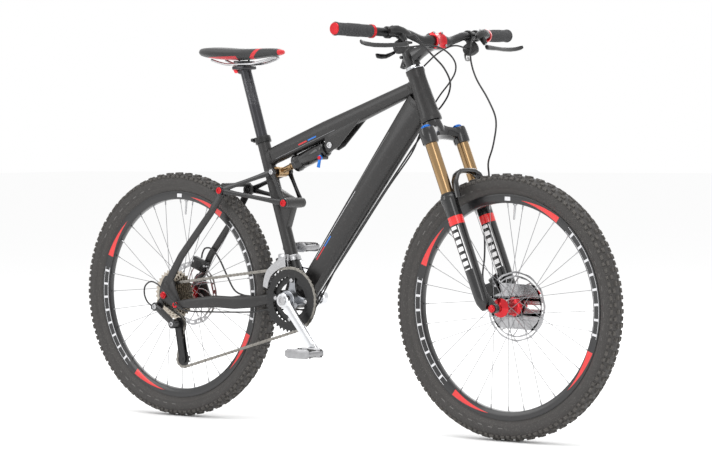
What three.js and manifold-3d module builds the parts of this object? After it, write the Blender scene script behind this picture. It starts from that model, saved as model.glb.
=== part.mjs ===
// A full-suspension mountain bike, standing on its tyres, built from the pieces it comes apart into.
// Millimetres. +X is forward, +Z is up, the drive side (chain side) is -Y.
// The origin is on the ground, midway between the two wheels.
import * as THREE from 'three';
import { mergeVertices } from 'three/addons/utils/BufferGeometryUtils.js';
import Module from 'manifold-3d';

const wasm = await Module();
wasm.setup();

// ---------------------------------------------------------------- driving dimensions
const wheelbase = 1110;
const tyreRadius = 338;
const tyreWidth = 57;
const treadWidth = 20;
const rimInner = 263;
const rimBead = 279.5;
const rimEdge = 286;
const rimWidth = 25;
const wheelSides = 32;
const spokeCount = 32;
const spokeRadius = 0.9;
const rotorRadius = 90;
const rotorThick = 2;

const headAngle = 68.3;
const forkRake = 44.6;
const forkTravel = 100;
const crownRoom = 22;
const crownHeight = 63.6;
const headLength = 142.4;
const steererRadius = 14.3;
const headBore = 16;
const stanchionRadius = 16;
const stanchionSpread = 67;
const stanchionAhead = 24;

const seatAngle = 72.5;
const seatTubeLength = 456;
const seatBoreDepth = 316;
const seatTubeRadius = 17.5;
const seatpostRadius = 15.6;
const seatpostTop = 662;
const seatpostDepth = 190;
const saddleHalfWidth = 67;

const tyreToBottomBracket = 102;
const shellRadius = 23;
const shellHalfWidth = 36.5;
const spindleRadius = 12;
const crankLength = 175;
const crankAngle = -48.8;
const pedalAxleRadius = 5;

const chainPitch = 12.7;
const ringTeeth = 42;
const cogTeeth = 15;
const pulleyTeeth = 11;
const chainLine = 50;
const chainWidth = 5.6;
const chainDepth = 8.6;
const slotWidth = 2.6;
const toothThick = 1.9;
const cogSpacing = 4.34;
const cassetteTeeth = [11, 13, 15, 17, 20, 23, 26, 30, 34];

const barHalfWidth = 370;
const gripLength = 130;
const gripRadius = 16;
const barClampRadius = 15.9;
const barEndRadius = 11.1;

const fitGap = 0.3;
const padGap = 1.2;
const pivotGap = 0.3;
const loopGap = 3;

// ---------------------------------------------------------------- finishes
const finishes = {
  paint: { color: 0x2c2a29, roughness: 0.42, metalness: 0.2 },
  glossBlack: { color: 0x121214, roughness: 0.2, metalness: 0.1 },
  satinBlack: { color: 0x1d1d1f, roughness: 0.45, metalness: 0.3 },
  rubber: { color: 0x2b2927, roughness: 0.9, metalness: 0 },
  foam: { color: 0x1b1b1d, roughness: 0.7, metalness: 0 },
  gold: { color: 0x9a7038, roughness: 0.25, metalness: 0.8 },
  steel: { color: 0xb9bbbe, roughness: 0.3, metalness: 1 },
  polished: { color: 0xd4d6d9, roughness: 0.2, metalness: 1 },
  red: { color: 0xb01824, roughness: 0.3, metalness: 0.6 },
  blue: { color: 0x1c4fa8, roughness: 0.3, metalness: 0.5 },
};

// ---------------------------------------------------------------- shape helpers
const vec = (x, y, z) => new THREE.Vector3(x, y, z);
const radians = THREE.MathUtils.degToRad;
const across = vec(0, 1, 0);

// Turns a closed geometry into a solid that can be joined and cut.
function solid(geometry) {
  geometry.deleteAttribute('normal');
  geometry.deleteAttribute('uv');
  const merged = mergeVertices(geometry, 1e-4);
  const vertProperties = Float32Array.from(merged.attributes.position.array);
  const index = merged.index.array;
  const triVerts = [];
  for (let i = 0; i < index.length; i += 3) {
    const [a, b, c] = [index[i], index[i + 1], index[i + 2]];
    if (a !== b && b !== c && c !== a) triVerts.push(a, b, c);
  }
  const facing = signedVolume(vertProperties, triVerts);
  if (facing < 0) triVerts.reverse();
  return new wasm.Manifold(new wasm.Mesh({
    numProp: 3, vertProperties, triVerts: Uint32Array.from(triVerts),
  }));
}

function signedVolume(positions, triangles) {
  const corner = (i) => new THREE.Vector3().fromArray(positions, 3 * i);
  let sum = 0;
  for (let i = 0; i < triangles.length; i += 3) {
    const [a, b, c] = [corner(triangles[i]), corner(triangles[i + 1]), corner(triangles[i + 2])];
    sum += a.dot(b.cross(c));
  }
  return sum / 6;
}

function join(...pieces) {
  return pieces.flat().reduce((whole, piece) => whole.add(piece));
}

function cut(whole, ...tools) {
  return tools.flat().reduce((rest, tool) => rest.subtract(tool), whole);
}

// A straight limb whose oval section, [depth, width], changes from one end to the other.
// Four sides make a flat-faced bar; more sides make an oval one.
function limb(from, to, startSize, endSize = startSize, sides = 10, wideWay = across) {
  const flatFaced = sides === 4;
  const reach = flatFaced ? Math.SQRT1_2 : 0.5;
  const geometry = new THREE.CylinderGeometry(reach, reach, 1, sides);
  if (flatFaced) geometry.rotateY(Math.PI / 4);
  const position = geometry.attributes.position;
  const length = from.distanceTo(to);
  for (let i = 0; i < position.count; i += 1) {
    const t = position.getY(i) + 0.5;
    const depth = THREE.MathUtils.lerp(startSize[0], endSize[0], t);
    const width = THREE.MathUtils.lerp(startSize[1], endSize[1], t);
    position.setXYZ(i, position.getX(i) * depth, position.getY(i) * length, position.getZ(i) * width);
  }
  const along = to.clone().sub(from).normalize();
  const steady = Math.abs(along.dot(wideWay)) > 0.99 ? vec(0, 0, 1) : wideWay;
  const wide = steady.clone().addScaledVector(along, -steady.dot(along)).normalize();
  const deep = along.clone().cross(wide);
  const place = new THREE.Matrix4().makeBasis(deep, along, wide);
  place.setPosition(from.clone().lerp(to, 0.5));
  return solid(geometry.applyMatrix4(place));
}

function rod(from, to, startRadius, endRadius = startRadius, sides = 10) {
  return limb(from, to, [2 * startRadius, 2 * startRadius], [2 * endRadius, 2 * endRadius], sides);
}

// A bore's flats lie at its radius, so that a rod of that radius passes.
function bore(from, to, radius, sides = 10) {
  const reach = radius / Math.cos(Math.PI / sides);
  return rod(from, to, reach, reach, sides);
}

function pin(x, z, yLow, yHigh, radius, sides = 10) {
  return rod(vec(x, yLow, z), vec(x, yHigh, z), radius, radius, sides);
}

function pinHole(x, z, yLow, yHigh, radius, sides = 10) {
  return bore(vec(x, yLow, z), vec(x, yHigh, z), radius, sides);
}

function block(x, y, z, sizeX, sizeY, sizeZ, tilt = 0) {
  const geometry = new THREE.BoxGeometry(sizeX, sizeY, sizeZ);
  geometry.rotateY(radians(tilt));
  return solid(geometry.translate(x, y, z));
}

// A flat plate cut in the bike's side plane, from its [x, z] outline.
function plate(outline, yLow, yHigh) {
  const shape = new THREE.Shape(outline.map(([x, z]) => new THREE.Vector2(x, z)));
  const geometry = new THREE.ExtrudeGeometry(shape, { depth: yHigh - yLow, bevelEnabled: false });
  geometry.rotateX(Math.PI / 2);
  return solid(geometry.translate(0, yHigh, 0));
}

// A piece turned about the Y axis, from its [radius, y] profile; one flat points straight down.
function turned(profile, sides) {
  const reach = 1 / Math.cos(Math.PI / sides);
  const points = profile.map(([radius, y]) => new THREE.Vector2(radius * reach, y));
  return solid(new THREE.LatheGeometry(points, sides, Math.PI / sides));
}

function disc(radius, boreRadius, yLow, yHigh, sides) {
  const outline = [[boreRadius, yLow], [radius, yLow], [radius, yHigh], [boreRadius, yHigh], [boreRadius, yLow]];
  return turned(outline, sides);
}

// A round hose along a smooth curve through its points.
function hose(points, radius, sides = 8, steps = 4 * points.length) {
  const circle = [];
  for (let i = 0; i < sides; i += 1) {
    const angle = (2 * Math.PI * i) / sides;
    circle.push(new THREE.Vector2(radius * Math.cos(angle), radius * Math.sin(angle)));
  }
  const extrudePath = new THREE.CatmullRomCurve3(points.map((point) => vec(...point)));
  return solid(new THREE.ExtrudeGeometry(new THREE.Shape(circle), { steps, bevelEnabled: false, extrudePath }));
}

function node(name, shape, finish) {
  const { vertProperties, triVerts } = shape.getMesh();
  const geometry = new THREE.BufferGeometry();
  geometry.setAttribute('position', new THREE.BufferAttribute(vertProperties, 3));
  geometry.setIndex(new THREE.BufferAttribute(triVerts, 1));
  geometry.computeVertexNormals();
  const mesh = new THREE.Mesh(geometry, new THREE.MeshStandardMaterial(finishes[finish]));
  mesh.name = name;
  return mesh;
}

function group(parent, x = 0, z = 0, tilt = 0) {
  const made = new THREE.Group();
  made.position.set(x, 0, z);
  made.rotation.y = tilt;
  parent.add(made);
  return made;
}

const bothSides = [-1, 1];
const sideName = (side) => (side < 0 ? 'right' : 'left');

// ---------------------------------------------------------------- layout in the side plane
const rearAxle = vec(-wheelbase / 2, 0, tyreRadius);
const frontAxle = vec(wheelbase / 2, 0, tyreRadius);
const bottomBracket = rearAxle.clone().add(vec(tyreRadius + tyreToBottomBracket, 0, 0));

const steerUp = vec(-Math.cos(radians(headAngle)), 0, Math.sin(radians(headAngle)));
const steerAhead = vec(steerUp.z, 0, -steerUp.x);
const steerBase = frontAxle.clone().addScaledVector(steerAhead, -forkRake);
const crownLow = tyreRadius + forkTravel + crownRoom;
const headLow = crownLow + crownHeight;
const headTop = headLow + headLength;
const onSteerer = (height) => steerBase.clone().addScaledVector(steerUp, height);

const seatUp = vec(-Math.cos(radians(seatAngle)), 0, Math.sin(radians(seatAngle)));
const onSeatLine = (distance) => bottomBracket.clone().addScaledVector(seatUp, distance);

const mainPivot = bottomBracket.clone().add(vec(-47, 0, 10));
const stayPivotAngle = radians(54.6);
const stayPivotRoom = 17.7;
const upperPivot = rearAxle.clone().add(
  vec(Math.cos(stayPivotAngle), 0, Math.sin(stayPivotAngle)).multiplyScalar(tyreRadius + stayPivotRoom));
const rockerPivot = upperPivot.clone().add(vec(203, 0, -33));
const shockLower = rockerPivot.clone().add(vec(-42, 0, 83));
const shockUpper = shockLower.clone().add(vec(183, 0, 71));
const dropoutPivot = rearAxle.clone().add(vec(47, 0, -25));

const at = (point, y = 0) => vec(point.x, y, point.z);
const shifted = (point, dx, dz, y = 0) => vec(point.x + dx, y, point.z + dz);

const bike = new THREE.Group();

// ---------------------------------------------------------------- main frame
const headOuterTop = 22;
const headOuterLow = 27;
const rockerBossHalf = 33;
const axleRadius = 6;
const pivotBossRadius = 14;
const shockEyeHalf = 11;
const shockTabThick = 5;

function mainFrame() {
  const head = rod(onSteerer(headLow), onSteerer(headTop), headOuterLow, headOuterTop, 16);
  const downTube = limb(shifted(bottomBracket, 10, 12), onSteerer(headTop - 84), [60, 46], [80, 52], 12);
  const topTube = limb(onSeatLine(393), onSteerer(headTop - 40), [46, 40], [36, 36], 12);
  const seatTube = rod(onSeatLine(0), onSeatLine(seatTubeLength), seatTubeRadius, seatTubeRadius, 12);
  const shell = pin(bottomBracket.x, bottomBracket.z, -shellHalfWidth, shellHalfWidth, shellRadius, 14);
  const pivotLug = plate([
    [bottomBracket.x, bottomBracket.z - 20], [bottomBracket.x, bottomBracket.z + 60],
    [bottomBracket.x - 36, bottomBracket.z + 60], [mainPivot.x - 4, mainPivot.z + 12],
    [mainPivot.x - 4, mainPivot.z - 12],
  ], -16, 16);
  const pivotBoss = pin(mainPivot.x, mainPivot.z, -24, 24, pivotBossRadius);
  const rockerGusset = plate([
    [rockerPivot.x - 22, rockerPivot.z - 90], [rockerPivot.x + 8, rockerPivot.z - 12],
    [rockerPivot.x + 8, rockerPivot.z + 10], [rockerPivot.x - 52, rockerPivot.z + 40],
  ], -14, 14);
  const rockerBoss = pin(rockerPivot.x, rockerPivot.z, -rockerBossHalf, rockerBossHalf, pivotBossRadius);
  const tabInner = shockEyeHalf + fitGap;
  const shockTabs = bothSides.map((side) => {
    const [low, high] = [tabInner, tabInner + shockTabThick].map((y) => side * y).sort((a, b) => a - b);
    return plate([
      [shockUpper.x - 14, shockUpper.z - 10], [shockUpper.x + 8, shockUpper.z - 14],
      [shockUpper.x + 28, shockUpper.z - 4], [shockUpper.x + 108, shockUpper.z + 76],
      [shockUpper.x - 20, shockUpper.z + 40],
    ], low, high);
  });
  const whole = join(head, downTube, topTube, seatTube, shell, pivotLug, pivotBoss, rockerGusset,
    rockerBoss, shockTabs);
  return cut(whole,
    bore(onSteerer(headLow - 5), onSteerer(headTop + 5), headBore, 12),
    bore(onSeatLine(seatTubeLength - seatBoreDepth), onSeatLine(seatTubeLength + 5), seatpostRadius + fitGap, 12),
    pinHole(bottomBracket.x, bottomBracket.z, -60, 60, shellBore, 12),
    pinHole(mainPivot.x, mainPivot.z, -60, 60, axleRadius + pivotGap),
    pinHole(rockerPivot.x, rockerPivot.z, -60, 60, axleRadius + pivotGap),
    pinHole(shockUpper.x, shockUpper.z, -60, 60, axleRadius + pivotGap));
}

const shellBore = 17.4;
const cupRadius = 21.5;
const cupWidth = 7;

function bottomBracketCups() {
  const body = pin(bottomBracket.x, bottomBracket.z, -40, 40, shellBore - fitGap, 12);
  const cups = bothSides.map((side) => {
    const inner = side * (shellHalfWidth + fitGap);
    return pin(bottomBracket.x, bottomBracket.z, inner, inner + side * cupWidth, cupRadius, 14);
  });
  return cut(join(body, cups), pinHole(bottomBracket.x, bottomBracket.z, -60, 60, spindleRadius + pivotGap));
}

const headsetHeight = 10;

function headsetUpper() {
  const body = rod(onSteerer(headTop + fitGap), onSteerer(headTop + fitGap + headsetHeight), 23, 19, 14);
  return cut(body, bore(onSteerer(headTop - 5), onSteerer(headTop + 20), steererRadius + fitGap, 12));
}

const clampHeight = 16;

function seatClamp() {
  const low = seatTubeLength - clampHeight - 2;
  const ring = rod(onSeatLine(low), onSeatLine(low + clampHeight), 22, 22, 12);
  const lugPlace = onSeatLine(low + clampHeight / 2).add(vec(-25, 0, 0));
  const lug = block(lugPlace.x, 0, lugPlace.z, 14, 16, clampHeight - 4, seatAngle - 90);
  const barrel = rod(shifted(lugPlace, -3, 0, -14), shifted(lugPlace, -3, 0, 14), 5, 5, 10);
  const lever = limb(shifted(lugPlace, -3, 0, 12), shifted(lugPlace, 20, -38, 27), [10, 6], [8, 5], 8);
  const tubeHole = bore(onSeatLine(low - 5), onSeatLine(seatTubeLength + 5), seatTubeRadius + fitGap, 12);
  return cut(join(ring, lug, barrel, lever), tubeHole);
}

const cageGap = 1.4;

function frontDerailleur() {
  const clampMiddle = onSeatLine(112);
  const clampEnds = [onSeatLine(104), onSeatLine(120)];
  const ring = rod(clampEnds[0], clampEnds[1], 22, 22, 12);
  const ringRadius = (ringTeeth * chainPitch) / (2 * Math.PI);
  const polar = (radius, angle) => [
    bottomBracket.x + radius * Math.cos(radians(angle)), bottomBracket.z + radius * Math.sin(radians(angle))];
  const outline = [polar(ringRadius - 10, 88), polar(ringRadius + 24, 88), polar(ringRadius + 24, 104),
    polar(ringRadius + 20, 122), polar(ringRadius + 36, 150), polar(ringRadius + 38, 166),
    polar(ringRadius + 18, 164), polar(ringRadius - 6, 140), polar(ringRadius - 10, 112)];
  const plateGap = chainWidth / 2 + cageGap;
  const inner = plate(outline, -chainLine + plateGap, -chainLine + plateGap + 1.6);
  const outer = plate(outline, -chainLine - plateGap - 1.6, -chainLine - plateGap);
  const [bridgeX, bridgeZ] = polar(ringRadius + 18, 96);
  const bridge = block(bridgeX, -chainLine, bridgeZ, 22, 2 * plateGap + 3, 5, 0);
  const [tailX, tailZ] = polar(ringRadius + 30, 164);
  const tail = pin(tailX, tailZ, -chainLine - plateGap - 1, -chainLine + plateGap + 1, 2.4, 8);
  const arm = limb(shifted(clampMiddle, -2, -4, -18), shifted(clampMiddle, -6, -16, -chainLine + plateGap + 1),
    [20, 16], [16, 12], 8);
  const body = block(clampMiddle.x - 4, -34, clampMiddle.z + 4, 30, 18, 22, 0);
  const tubeHole = bore(onSeatLine(60), onSeatLine(160), seatTubeRadius + fitGap, 12);
  return cut(join(ring, arm, body, inner, outer, bridge, tail), tubeHole);
}

function pivotAxle(point, halfLength, headRadius) {
  const shaft = pin(point.x, point.z, -halfLength, halfLength, axleRadius);
  const heads = bothSides.map((side) => pin(point.x, point.z, side * halfLength,
    side * (halfLength + 2.5), headRadius));
  return join(shaft, heads);
}

const mainYokeHalf = 34;
const rockerPlateInner = rockerBossHalf + fitGap;
const rockerPlateThick = 7;
const shockTabOuter = shockEyeHalf + fitGap + shockTabThick;

bike.add(
  node('main_frame', mainFrame(), 'paint'),
  node('headset_upper', headsetUpper(), 'polished'),
  node('bottom_bracket', bottomBracketCups(), 'satinBlack'),
  node('seat_clamp', seatClamp(), 'satinBlack'),
  node('front_derailleur', frontDerailleur(), 'steel'),
  node('main_pivot_axle', pivotAxle(mainPivot, mainYokeHalf + fitGap, 9), 'steel'),
  node('rocker_pivot_axle',
    pivotAxle(rockerPivot, rockerPlateInner + rockerPlateThick + fitGap, 9.5), 'red'),
  node('shock_upper_bolt', pivotAxle(shockUpper, shockTabOuter + fitGap, 8.5), 'steel'));

// ---------------------------------------------------------------- seatpost and saddle
const railRadius = 3.5;
const railSpread = 22;
const postHead = onSeatLine(seatpostTop);

function seatpost() {
  const bottom = onSeatLine(seatTubeLength - seatpostDepth);
  const post = rod(bottom, onSeatLine(seatpostTop - 12), seatpostRadius, seatpostRadius, 12);
  const railHeight = postHead.z;
  const cradle = block(postHead.x, 0, railHeight - railRadius - fitGap - 6, 42, 60, 12);
  const neck = block(postHead.x, 0, railHeight - 16, 30, 26, 20);
  const column = block(postHead.x, 0, railHeight, 30, 2 * (railSpread - railRadius) - 8, 16);
  const cap = block(postHead.x, 0, railHeight + railRadius + fitGap + 2.5, 34, 56, 5);
  return join(post, cradle, neck, column, cap);
}

const saddleUnder = postHead.z + 17;

function saddleRails() {
  const z = postHead.z;
  const half = [[-88, railSpread + 8, 12.4], [-66, railSpread + 3, 5], [-46, railSpread, 0.6],
    [-34, railSpread, 0], [0, railSpread, 0], [34, railSpread, 0], [48, railSpread - 1, 0.6],
    [74, railSpread - 3, 5], [104, 14, 10.4], [118, 5, 11.6]];
  const path = half.map(([dx, y, dz]) => [postHead.x + dx, y, z + dz]);
  const back = half.map(([dx, y, dz]) => [postHead.x + dx, -y, z + dz]).reverse();
  return hose([...path, ...back], railRadius, 6, 34);
}

function saddle() {
  const x = postHead.x;
  const sideOutline = [[x - 132, saddleUnder + 10], [x - 128, saddleUnder + 28], [x - 90, saddleUnder + 29],
    [x - 20, saddleUnder + 23], [x + 90, saddleUnder + 21], [x + 132, saddleUnder + 18],
    [x + 141, saddleUnder + 8], [x + 132, saddleUnder - 2], [x + 90, saddleUnder], [x - 90, saddleUnder]];
  const body = plate(sideOutline, -saddleHalfWidth, saddleHalfWidth);
  const plan = [[-134, 0.62], [-122, 0.92], [-98, 1], [-66, 0.9], [-30, 0.6], [10, 0.38], [70, 0.28],
    [120, 0.26], [136, 0.18], [142, 0.06]].map(([dx, share]) => [x + dx, share * saddleHalfWidth]);
  const outline = [...plan, ...plan.map(([px, py]) => [px, -py]).reverse()];
  const shape = new THREE.Shape(outline.map(([px, py]) => new THREE.Vector2(px, py)));
  const column = new THREE.ExtrudeGeometry(shape, { depth: 80, bevelEnabled: false });
  return body.intersect(solid(column.translate(0, 0, saddleUnder - 20)));
}

bike.add(
  node('seatpost', seatpost(), 'satinBlack'),
  node('saddle_rails', saddleRails(), 'steel'),
  node('saddle', saddle(), 'foam'));

// ---------------------------------------------------------------- steering, in the fork's own frame
// In this group +Z runs up the steering axis, +X points ahead of it.
const steering = group(bike, steerBase.x, steerBase.z, radians(headAngle - 90));
const crownTop = crownLow + 35;
const stemLow = headTop + fitGap + headsetHeight + fitGap;
const stemTop = stemLow + 48;
const barAhead = 90;
const barHeight = stemLow + 32;
const upright = vec(1, 0, 0);

function up(x, y, low, high, radius, topRadius = radius, sides = 12) {
  return rod(vec(x, y, low), vec(x, y, high), radius, topRadius, sides);
}

function upHole(x, y, low, high, radius, sides = 12) {
  return bore(vec(x, y, low), vec(x, y, high), radius, sides);
}

const sealHeight = 311;
const stanchionLow = 180;

function forkCrownUnit() {
  const steerer = up(0, 0, crownLow + 20, stemTop - 3, steererRadius);
  const crownRace = up(0, 0, crownLow + 20, headLow - fitGap, 26, 23.6, 14);
  const legs = bothSides.map((side) => {
    const y = side * stanchionSpread;
    return join(
      up(stanchionAhead, y, stanchionLow, crownTop - 2, stanchionRadius),
      up(stanchionAhead, y, crownLow, crownTop, 21),
      up(stanchionAhead, y, crownTop, crownTop + 6, 12, 10, 10),
      limb(vec(-2, 0, crownLow + 32), vec(stanchionAhead, y, crownLow + 18), [44, 40], [34, 36], 10, upright));
  });
  return join(steerer, crownRace, ...legs);
}

const faceSplit = barAhead + 2;

function stem() {
  const tower = up(0, 0, stemLow, stemTop, 20, 19);
  const bridge = limb(vec(12, 0, stemLow + 24), vec(barAhead - 12, 0, barHeight), [40, 34], [34, 36], 10);
  const clampBody = pin(barAhead, barHeight, -23, 23, 22, 12);
  const front = block(faceSplit + 30, 0, barHeight, 60, 60, 60);
  return cut(join(tower, bridge, clampBody), front,
    upHole(0, 0, stemLow - 10, stemTop + 10, steererRadius + fitGap),
    pinHole(barAhead, barHeight, -40, 40, barClampRadius + fitGap, 12));
}

function stemFaceplate() {
  const shellRing = pin(barAhead, barHeight, -22, 22, 21, 12);
  const rear = block(faceSplit + fitGap - 30, 0, barHeight, 60, 60, 60);
  return cut(shellRing, rear, pinHole(barAhead, barHeight, -40, 40, barClampRadius + fitGap, 12));
}

// The bar's outer stretch is straight, so the grips and clamps are placed along it.
const bendY = 125;
const barBend = { ahead: 95, height: barHeight + 16 };
const barEnd = { ahead: 65, height: barHeight + 36 };
function onBar(y, ahead = 0, height = 0) {
  const t = (Math.abs(y) - bendY) / (barHalfWidth - bendY);
  return vec(THREE.MathUtils.lerp(barBend.ahead, barEnd.ahead, t) + ahead, y,
    THREE.MathUtils.lerp(barBend.height, barEnd.height, t) + height);
}

const plugThick = 3;
const podY = 146;
const leverPivotY = 172;
const masterY = 188;

function handlebar() {
  const centre = pin(barAhead, barHeight, -32, 32, barClampRadius, 12);
  const tapers = bothSides.map((side) => rod(vec(barAhead, side * 32, barHeight),
    vec(barAhead, side * 52, barHeight), barClampRadius, barEndRadius - 1, 12));
  const half = [[barAhead, 34, barHeight], [barAhead, 54, barHeight + 0.5], [barAhead + 3, 84, barHeight + 7],
    [barBend.ahead, bendY - 8, barBend.height - 1]];
  for (const y of [bendY + 4, podY, masterY, barHalfWidth - gripLength, barHalfWidth - plugThick - fitGap]) {
    half.push(onBar(y).toArray());
  }
  const mirrored = half.slice().reverse().map(([ahead, y, height]) => [ahead, -y, height]);
  return join(hose([...mirrored, ...half], barEndRadius, 8, 28), centre, ...tapers);
}

function grip(side) {
  const inner = onBar(side * (barHalfWidth - gripLength));
  const outer = onBar(side * barHalfWidth);
  const ringEnd = onBar(side * (barHalfWidth - gripLength + 9));
  const body = join(rod(inner, outer, gripRadius, gripRadius, 12), rod(inner, ringEnd, gripRadius + 1.5, gripRadius + 1.5, 12));
  const past = onBar(side * (barHalfWidth - gripLength - 4));
  return cut(body, bore(past, onBar(side * (barHalfWidth - plugThick)), barEndRadius + fitGap));
}

function barClamp(side, y, width, radius) {
  const from = onBar(side * (y - width / 2));
  const to = onBar(side * (y + width / 2));
  return rod(from, to, radius, radius, 10);
}

function barHole(side, y, width) {
  return bore(onBar(side * (y - width)), onBar(side * (y + width)), barEndRadius + fitGap);
}

function brakeMaster(side) {
  const clamp = barClamp(side, masterY, 12, 15.5);
  const cylinder = rod(onBar(side * (masterY - 42), 25, -14), onBar(side * (masterY + 18), 25, -14), 9, 10, 8);
  const tank = limb(onBar(side * (masterY - 20), 26, -4), onBar(side * (masterY + 22), 26, -4),
    [26, 20], [22, 18], 8);
  const neck = limb(onBar(side * masterY, 10, -4), onBar(side * masterY, 25, -12), [16, 12], [16, 12], 8);
  const ear = limb(onBar(side * leverPivotY, 26, -20), onBar(side * leverPivotY, 30, -36), [14, 12], [13, 9], 8,
    across);
  return cut(join(clamp, cylinder, tank, neck, ear), barHole(side, masterY, 30));
}

function brakeLever(side) {
  const knee = onBar(side * (leverPivotY + 42), 34, -50);
  const start = onBar(side * (leverPivotY + 2), 31.2, -44.2);
  const middle = onBar(side * 290, 34, -54);
  const tip = onBar(side * 345, 42, -52);
  return join(
    limb(start, knee, [15, 9], [12, 8], 8, upright),
    limb(knee, middle, [12, 8], [12, 7], 8, upright),
    limb(middle, tip, [12, 7], [11, 8], 8, upright));
}

function shifter(side) {
  const clamp = barClamp(side, podY, 10, 15);
  const pod = limb(onBar(side * (podY - 8), -6, -34), onBar(side * (podY + 18), -6, -34), [38, 46], [34, 40], 10,
    vec(0, 0, 1));
  const neck = limb(onBar(side * podY, 0, -10), onBar(side * podY, -4, -26), [14, 10], [18, 10], 8);
  return cut(join(clamp, neck, pod), barHole(side, podY, 30));
}

function shiftTrigger(side) {
  const root = onBar(side * (podY + 6), -28, -40);
  const knee = onBar(side * (podY + 22), -44, -46);
  const tip = onBar(side * (podY + 52), -46, -44);
  return join(limb(root, knee, [12, 6], [10, 5], 8, vec(0, 0, 1)), limb(knee, tip, [12, 5], [13, 5], 8,
    vec(0, 0, 1)));
}

steering.add(
  node('fork_crown_unit', forkCrownUnit(), 'gold'),
  node('stem', stem(), 'glossBlack'),
  node('stem_faceplate', stemFaceplate(), 'red'),
  node('handlebar', handlebar(), 'satinBlack'));
for (const side of bothSides) {
  steering.add(
    node(`grip_${sideName(side)}`, grip(side), 'rubber'),
    node(`brake_master_${sideName(side)}`, brakeMaster(side), 'satinBlack'),
    node(`brake_lever_${sideName(side)}`, brakeLever(side), 'glossBlack'),
    node(`shifter_${sideName(side)}`, shifter(side), 'satinBlack'),
    node(`shift_trigger_${sideName(side)}`, shiftTrigger(side), 'glossBlack'));
}

// ---------------------------------------------------------------- fork lowers, axle and front brake
const legRadius = 20;
const hubEndHalf = 50;
const skewerRadius = 4.7;
const dropoutInner = hubEndHalf + fitGap;
const dropoutOuter = 66;
const frontRotorY = 38;
const archTop = sealHeight + 62;
const archAhead = 53;

function forkLowers() {
  const legs = bothSides.map((side) => {
    const y = side * stanchionSpread;
    const leg = join(
      up(stanchionAhead, y, 22, sealHeight, legRadius - 1.5, legRadius + 0.5),
      up(stanchionAhead, y, sealHeight - 12, sealHeight, legRadius + 2, legRadius + 1),
      up(stanchionAhead, y, 2, 24, 9, legRadius - 2),
      limb(vec(stanchionAhead + 4, side * 60, 34), vec(forkRake, side * 58, 0), [30, 14], [24, 14], 8),
      pin(forkRake, 0, side * dropoutInner, side * dropoutOuter, 12));
    return leg;
  });
  const archLegs = bothSides.map((side) => join(
    limb(vec(stanchionAhead + 24, side * 66, sealHeight - 14), vec(archAhead, side * 50, archTop - 10),
      [12, 20], [12, 20], 8),
    limb(vec(archAhead, side * 54, archTop - 12), vec(archAhead, side * 30, archTop - 7), [12, 20], [12, 20], 8,
      vec(0, 0, 1))));
  const archBar = limb(vec(archAhead, -34, archTop - 7), vec(archAhead, 34, archTop - 7), [12, 20], [12, 20], 8,
    vec(0, 0, 1));
  const calliperPost = limb(vec(stanchionAhead - 10, 60, 96), vec(-16, 52, 88), [20, 12], [14, 12], 8);
  const legBores = bothSides.map((side) => upHole(stanchionAhead, side * stanchionSpread, 70, sealHeight + 90,
    stanchionRadius + fitGap));
  return cut(join(...legs, ...archLegs, archBar, calliperPost), ...legBores,
    pinHole(forkRake, 0, -80, 80, skewerRadius + fitGap));
}

function skewer(axle, halfLength, capRadius, leverReach) {
  const shaft = pin(axle.x, axle.z, -halfLength, halfLength, skewerRadius);
  const nut = pin(axle.x, axle.z, -halfLength - 9, -halfLength, capRadius, 10);
  const cam = pin(axle.x, axle.z, halfLength, halfLength + 11, capRadius, 10);
  const lever = limb(vec(axle.x, halfLength + 9, axle.z), vec(axle.x + leverReach.x, halfLength + 13,
    axle.z + leverReach.z), [11, 6], [13, 5], 8);
  return join(shaft, nut, cam, lever);
}

function calliper(x, z, tilt, rotorY, width) {
  const body = block(x, rotorY, z, 52, width, 34, tilt);
  const slot = block(x, rotorY, z, 80, rotorThick + 2 * padGap, 60, tilt);
  const outward = new THREE.Vector3(0, 0, 14).applyAxisAngle(across, radians(tilt));
  const closedBack = block(x + outward.x, rotorY, z + outward.z, 52, width, 7, tilt);
  return join(cut(body, slot), closedBack.intersect(body));
}

const fork = { x: forkRake, z: 0 };
steering.add(
  node('fork_lowers', forkLowers(), 'glossBlack'),
  node('front_axle', skewer(fork, dropoutOuter + fitGap, 9.5, { x: 54, z: 18 }), 'red'),
  node('front_caliper', calliper(-12, 66, -42, frontRotorY, 17), 'satinBlack'));

// ---------------------------------------------------------------- wheels
const tyreHalf = tyreWidth / 2;
const treadHalf = treadWidth / 2;

// A tyre is open towards the rim: out over the tread from bead to bead, and back inside.
function tyre() {
  const bead = rimBead + fitGap + 0.3;
  const outer = [[bead, 9.6], [rimEdge + 1, 10], [tyreRadius - 28, tyreHalf], [tyreRadius, treadHalf]];
  const inner = [[bead, 6.4], [tyreRadius - 8, 14]];
  const flip = ([radius, y]) => [radius, -y];
  const profile = [...outer, ...outer.slice().reverse().map(flip), ...inner.map(flip),
    ...inner.slice().reverse(), outer[0]];
  return turned(profile, wheelSides);
}

function rim() {
  const half = rimWidth / 2;
  const right = [[rimInner, 8], [rimInner + 7, half], [rimEdge, half], [rimBead, half - 2.4]];
  const left = right.slice().reverse().map(([radius, y]) => [radius, -y]);
  return turned([...right, ...left, right[0]], wheelSides);
}

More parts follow.
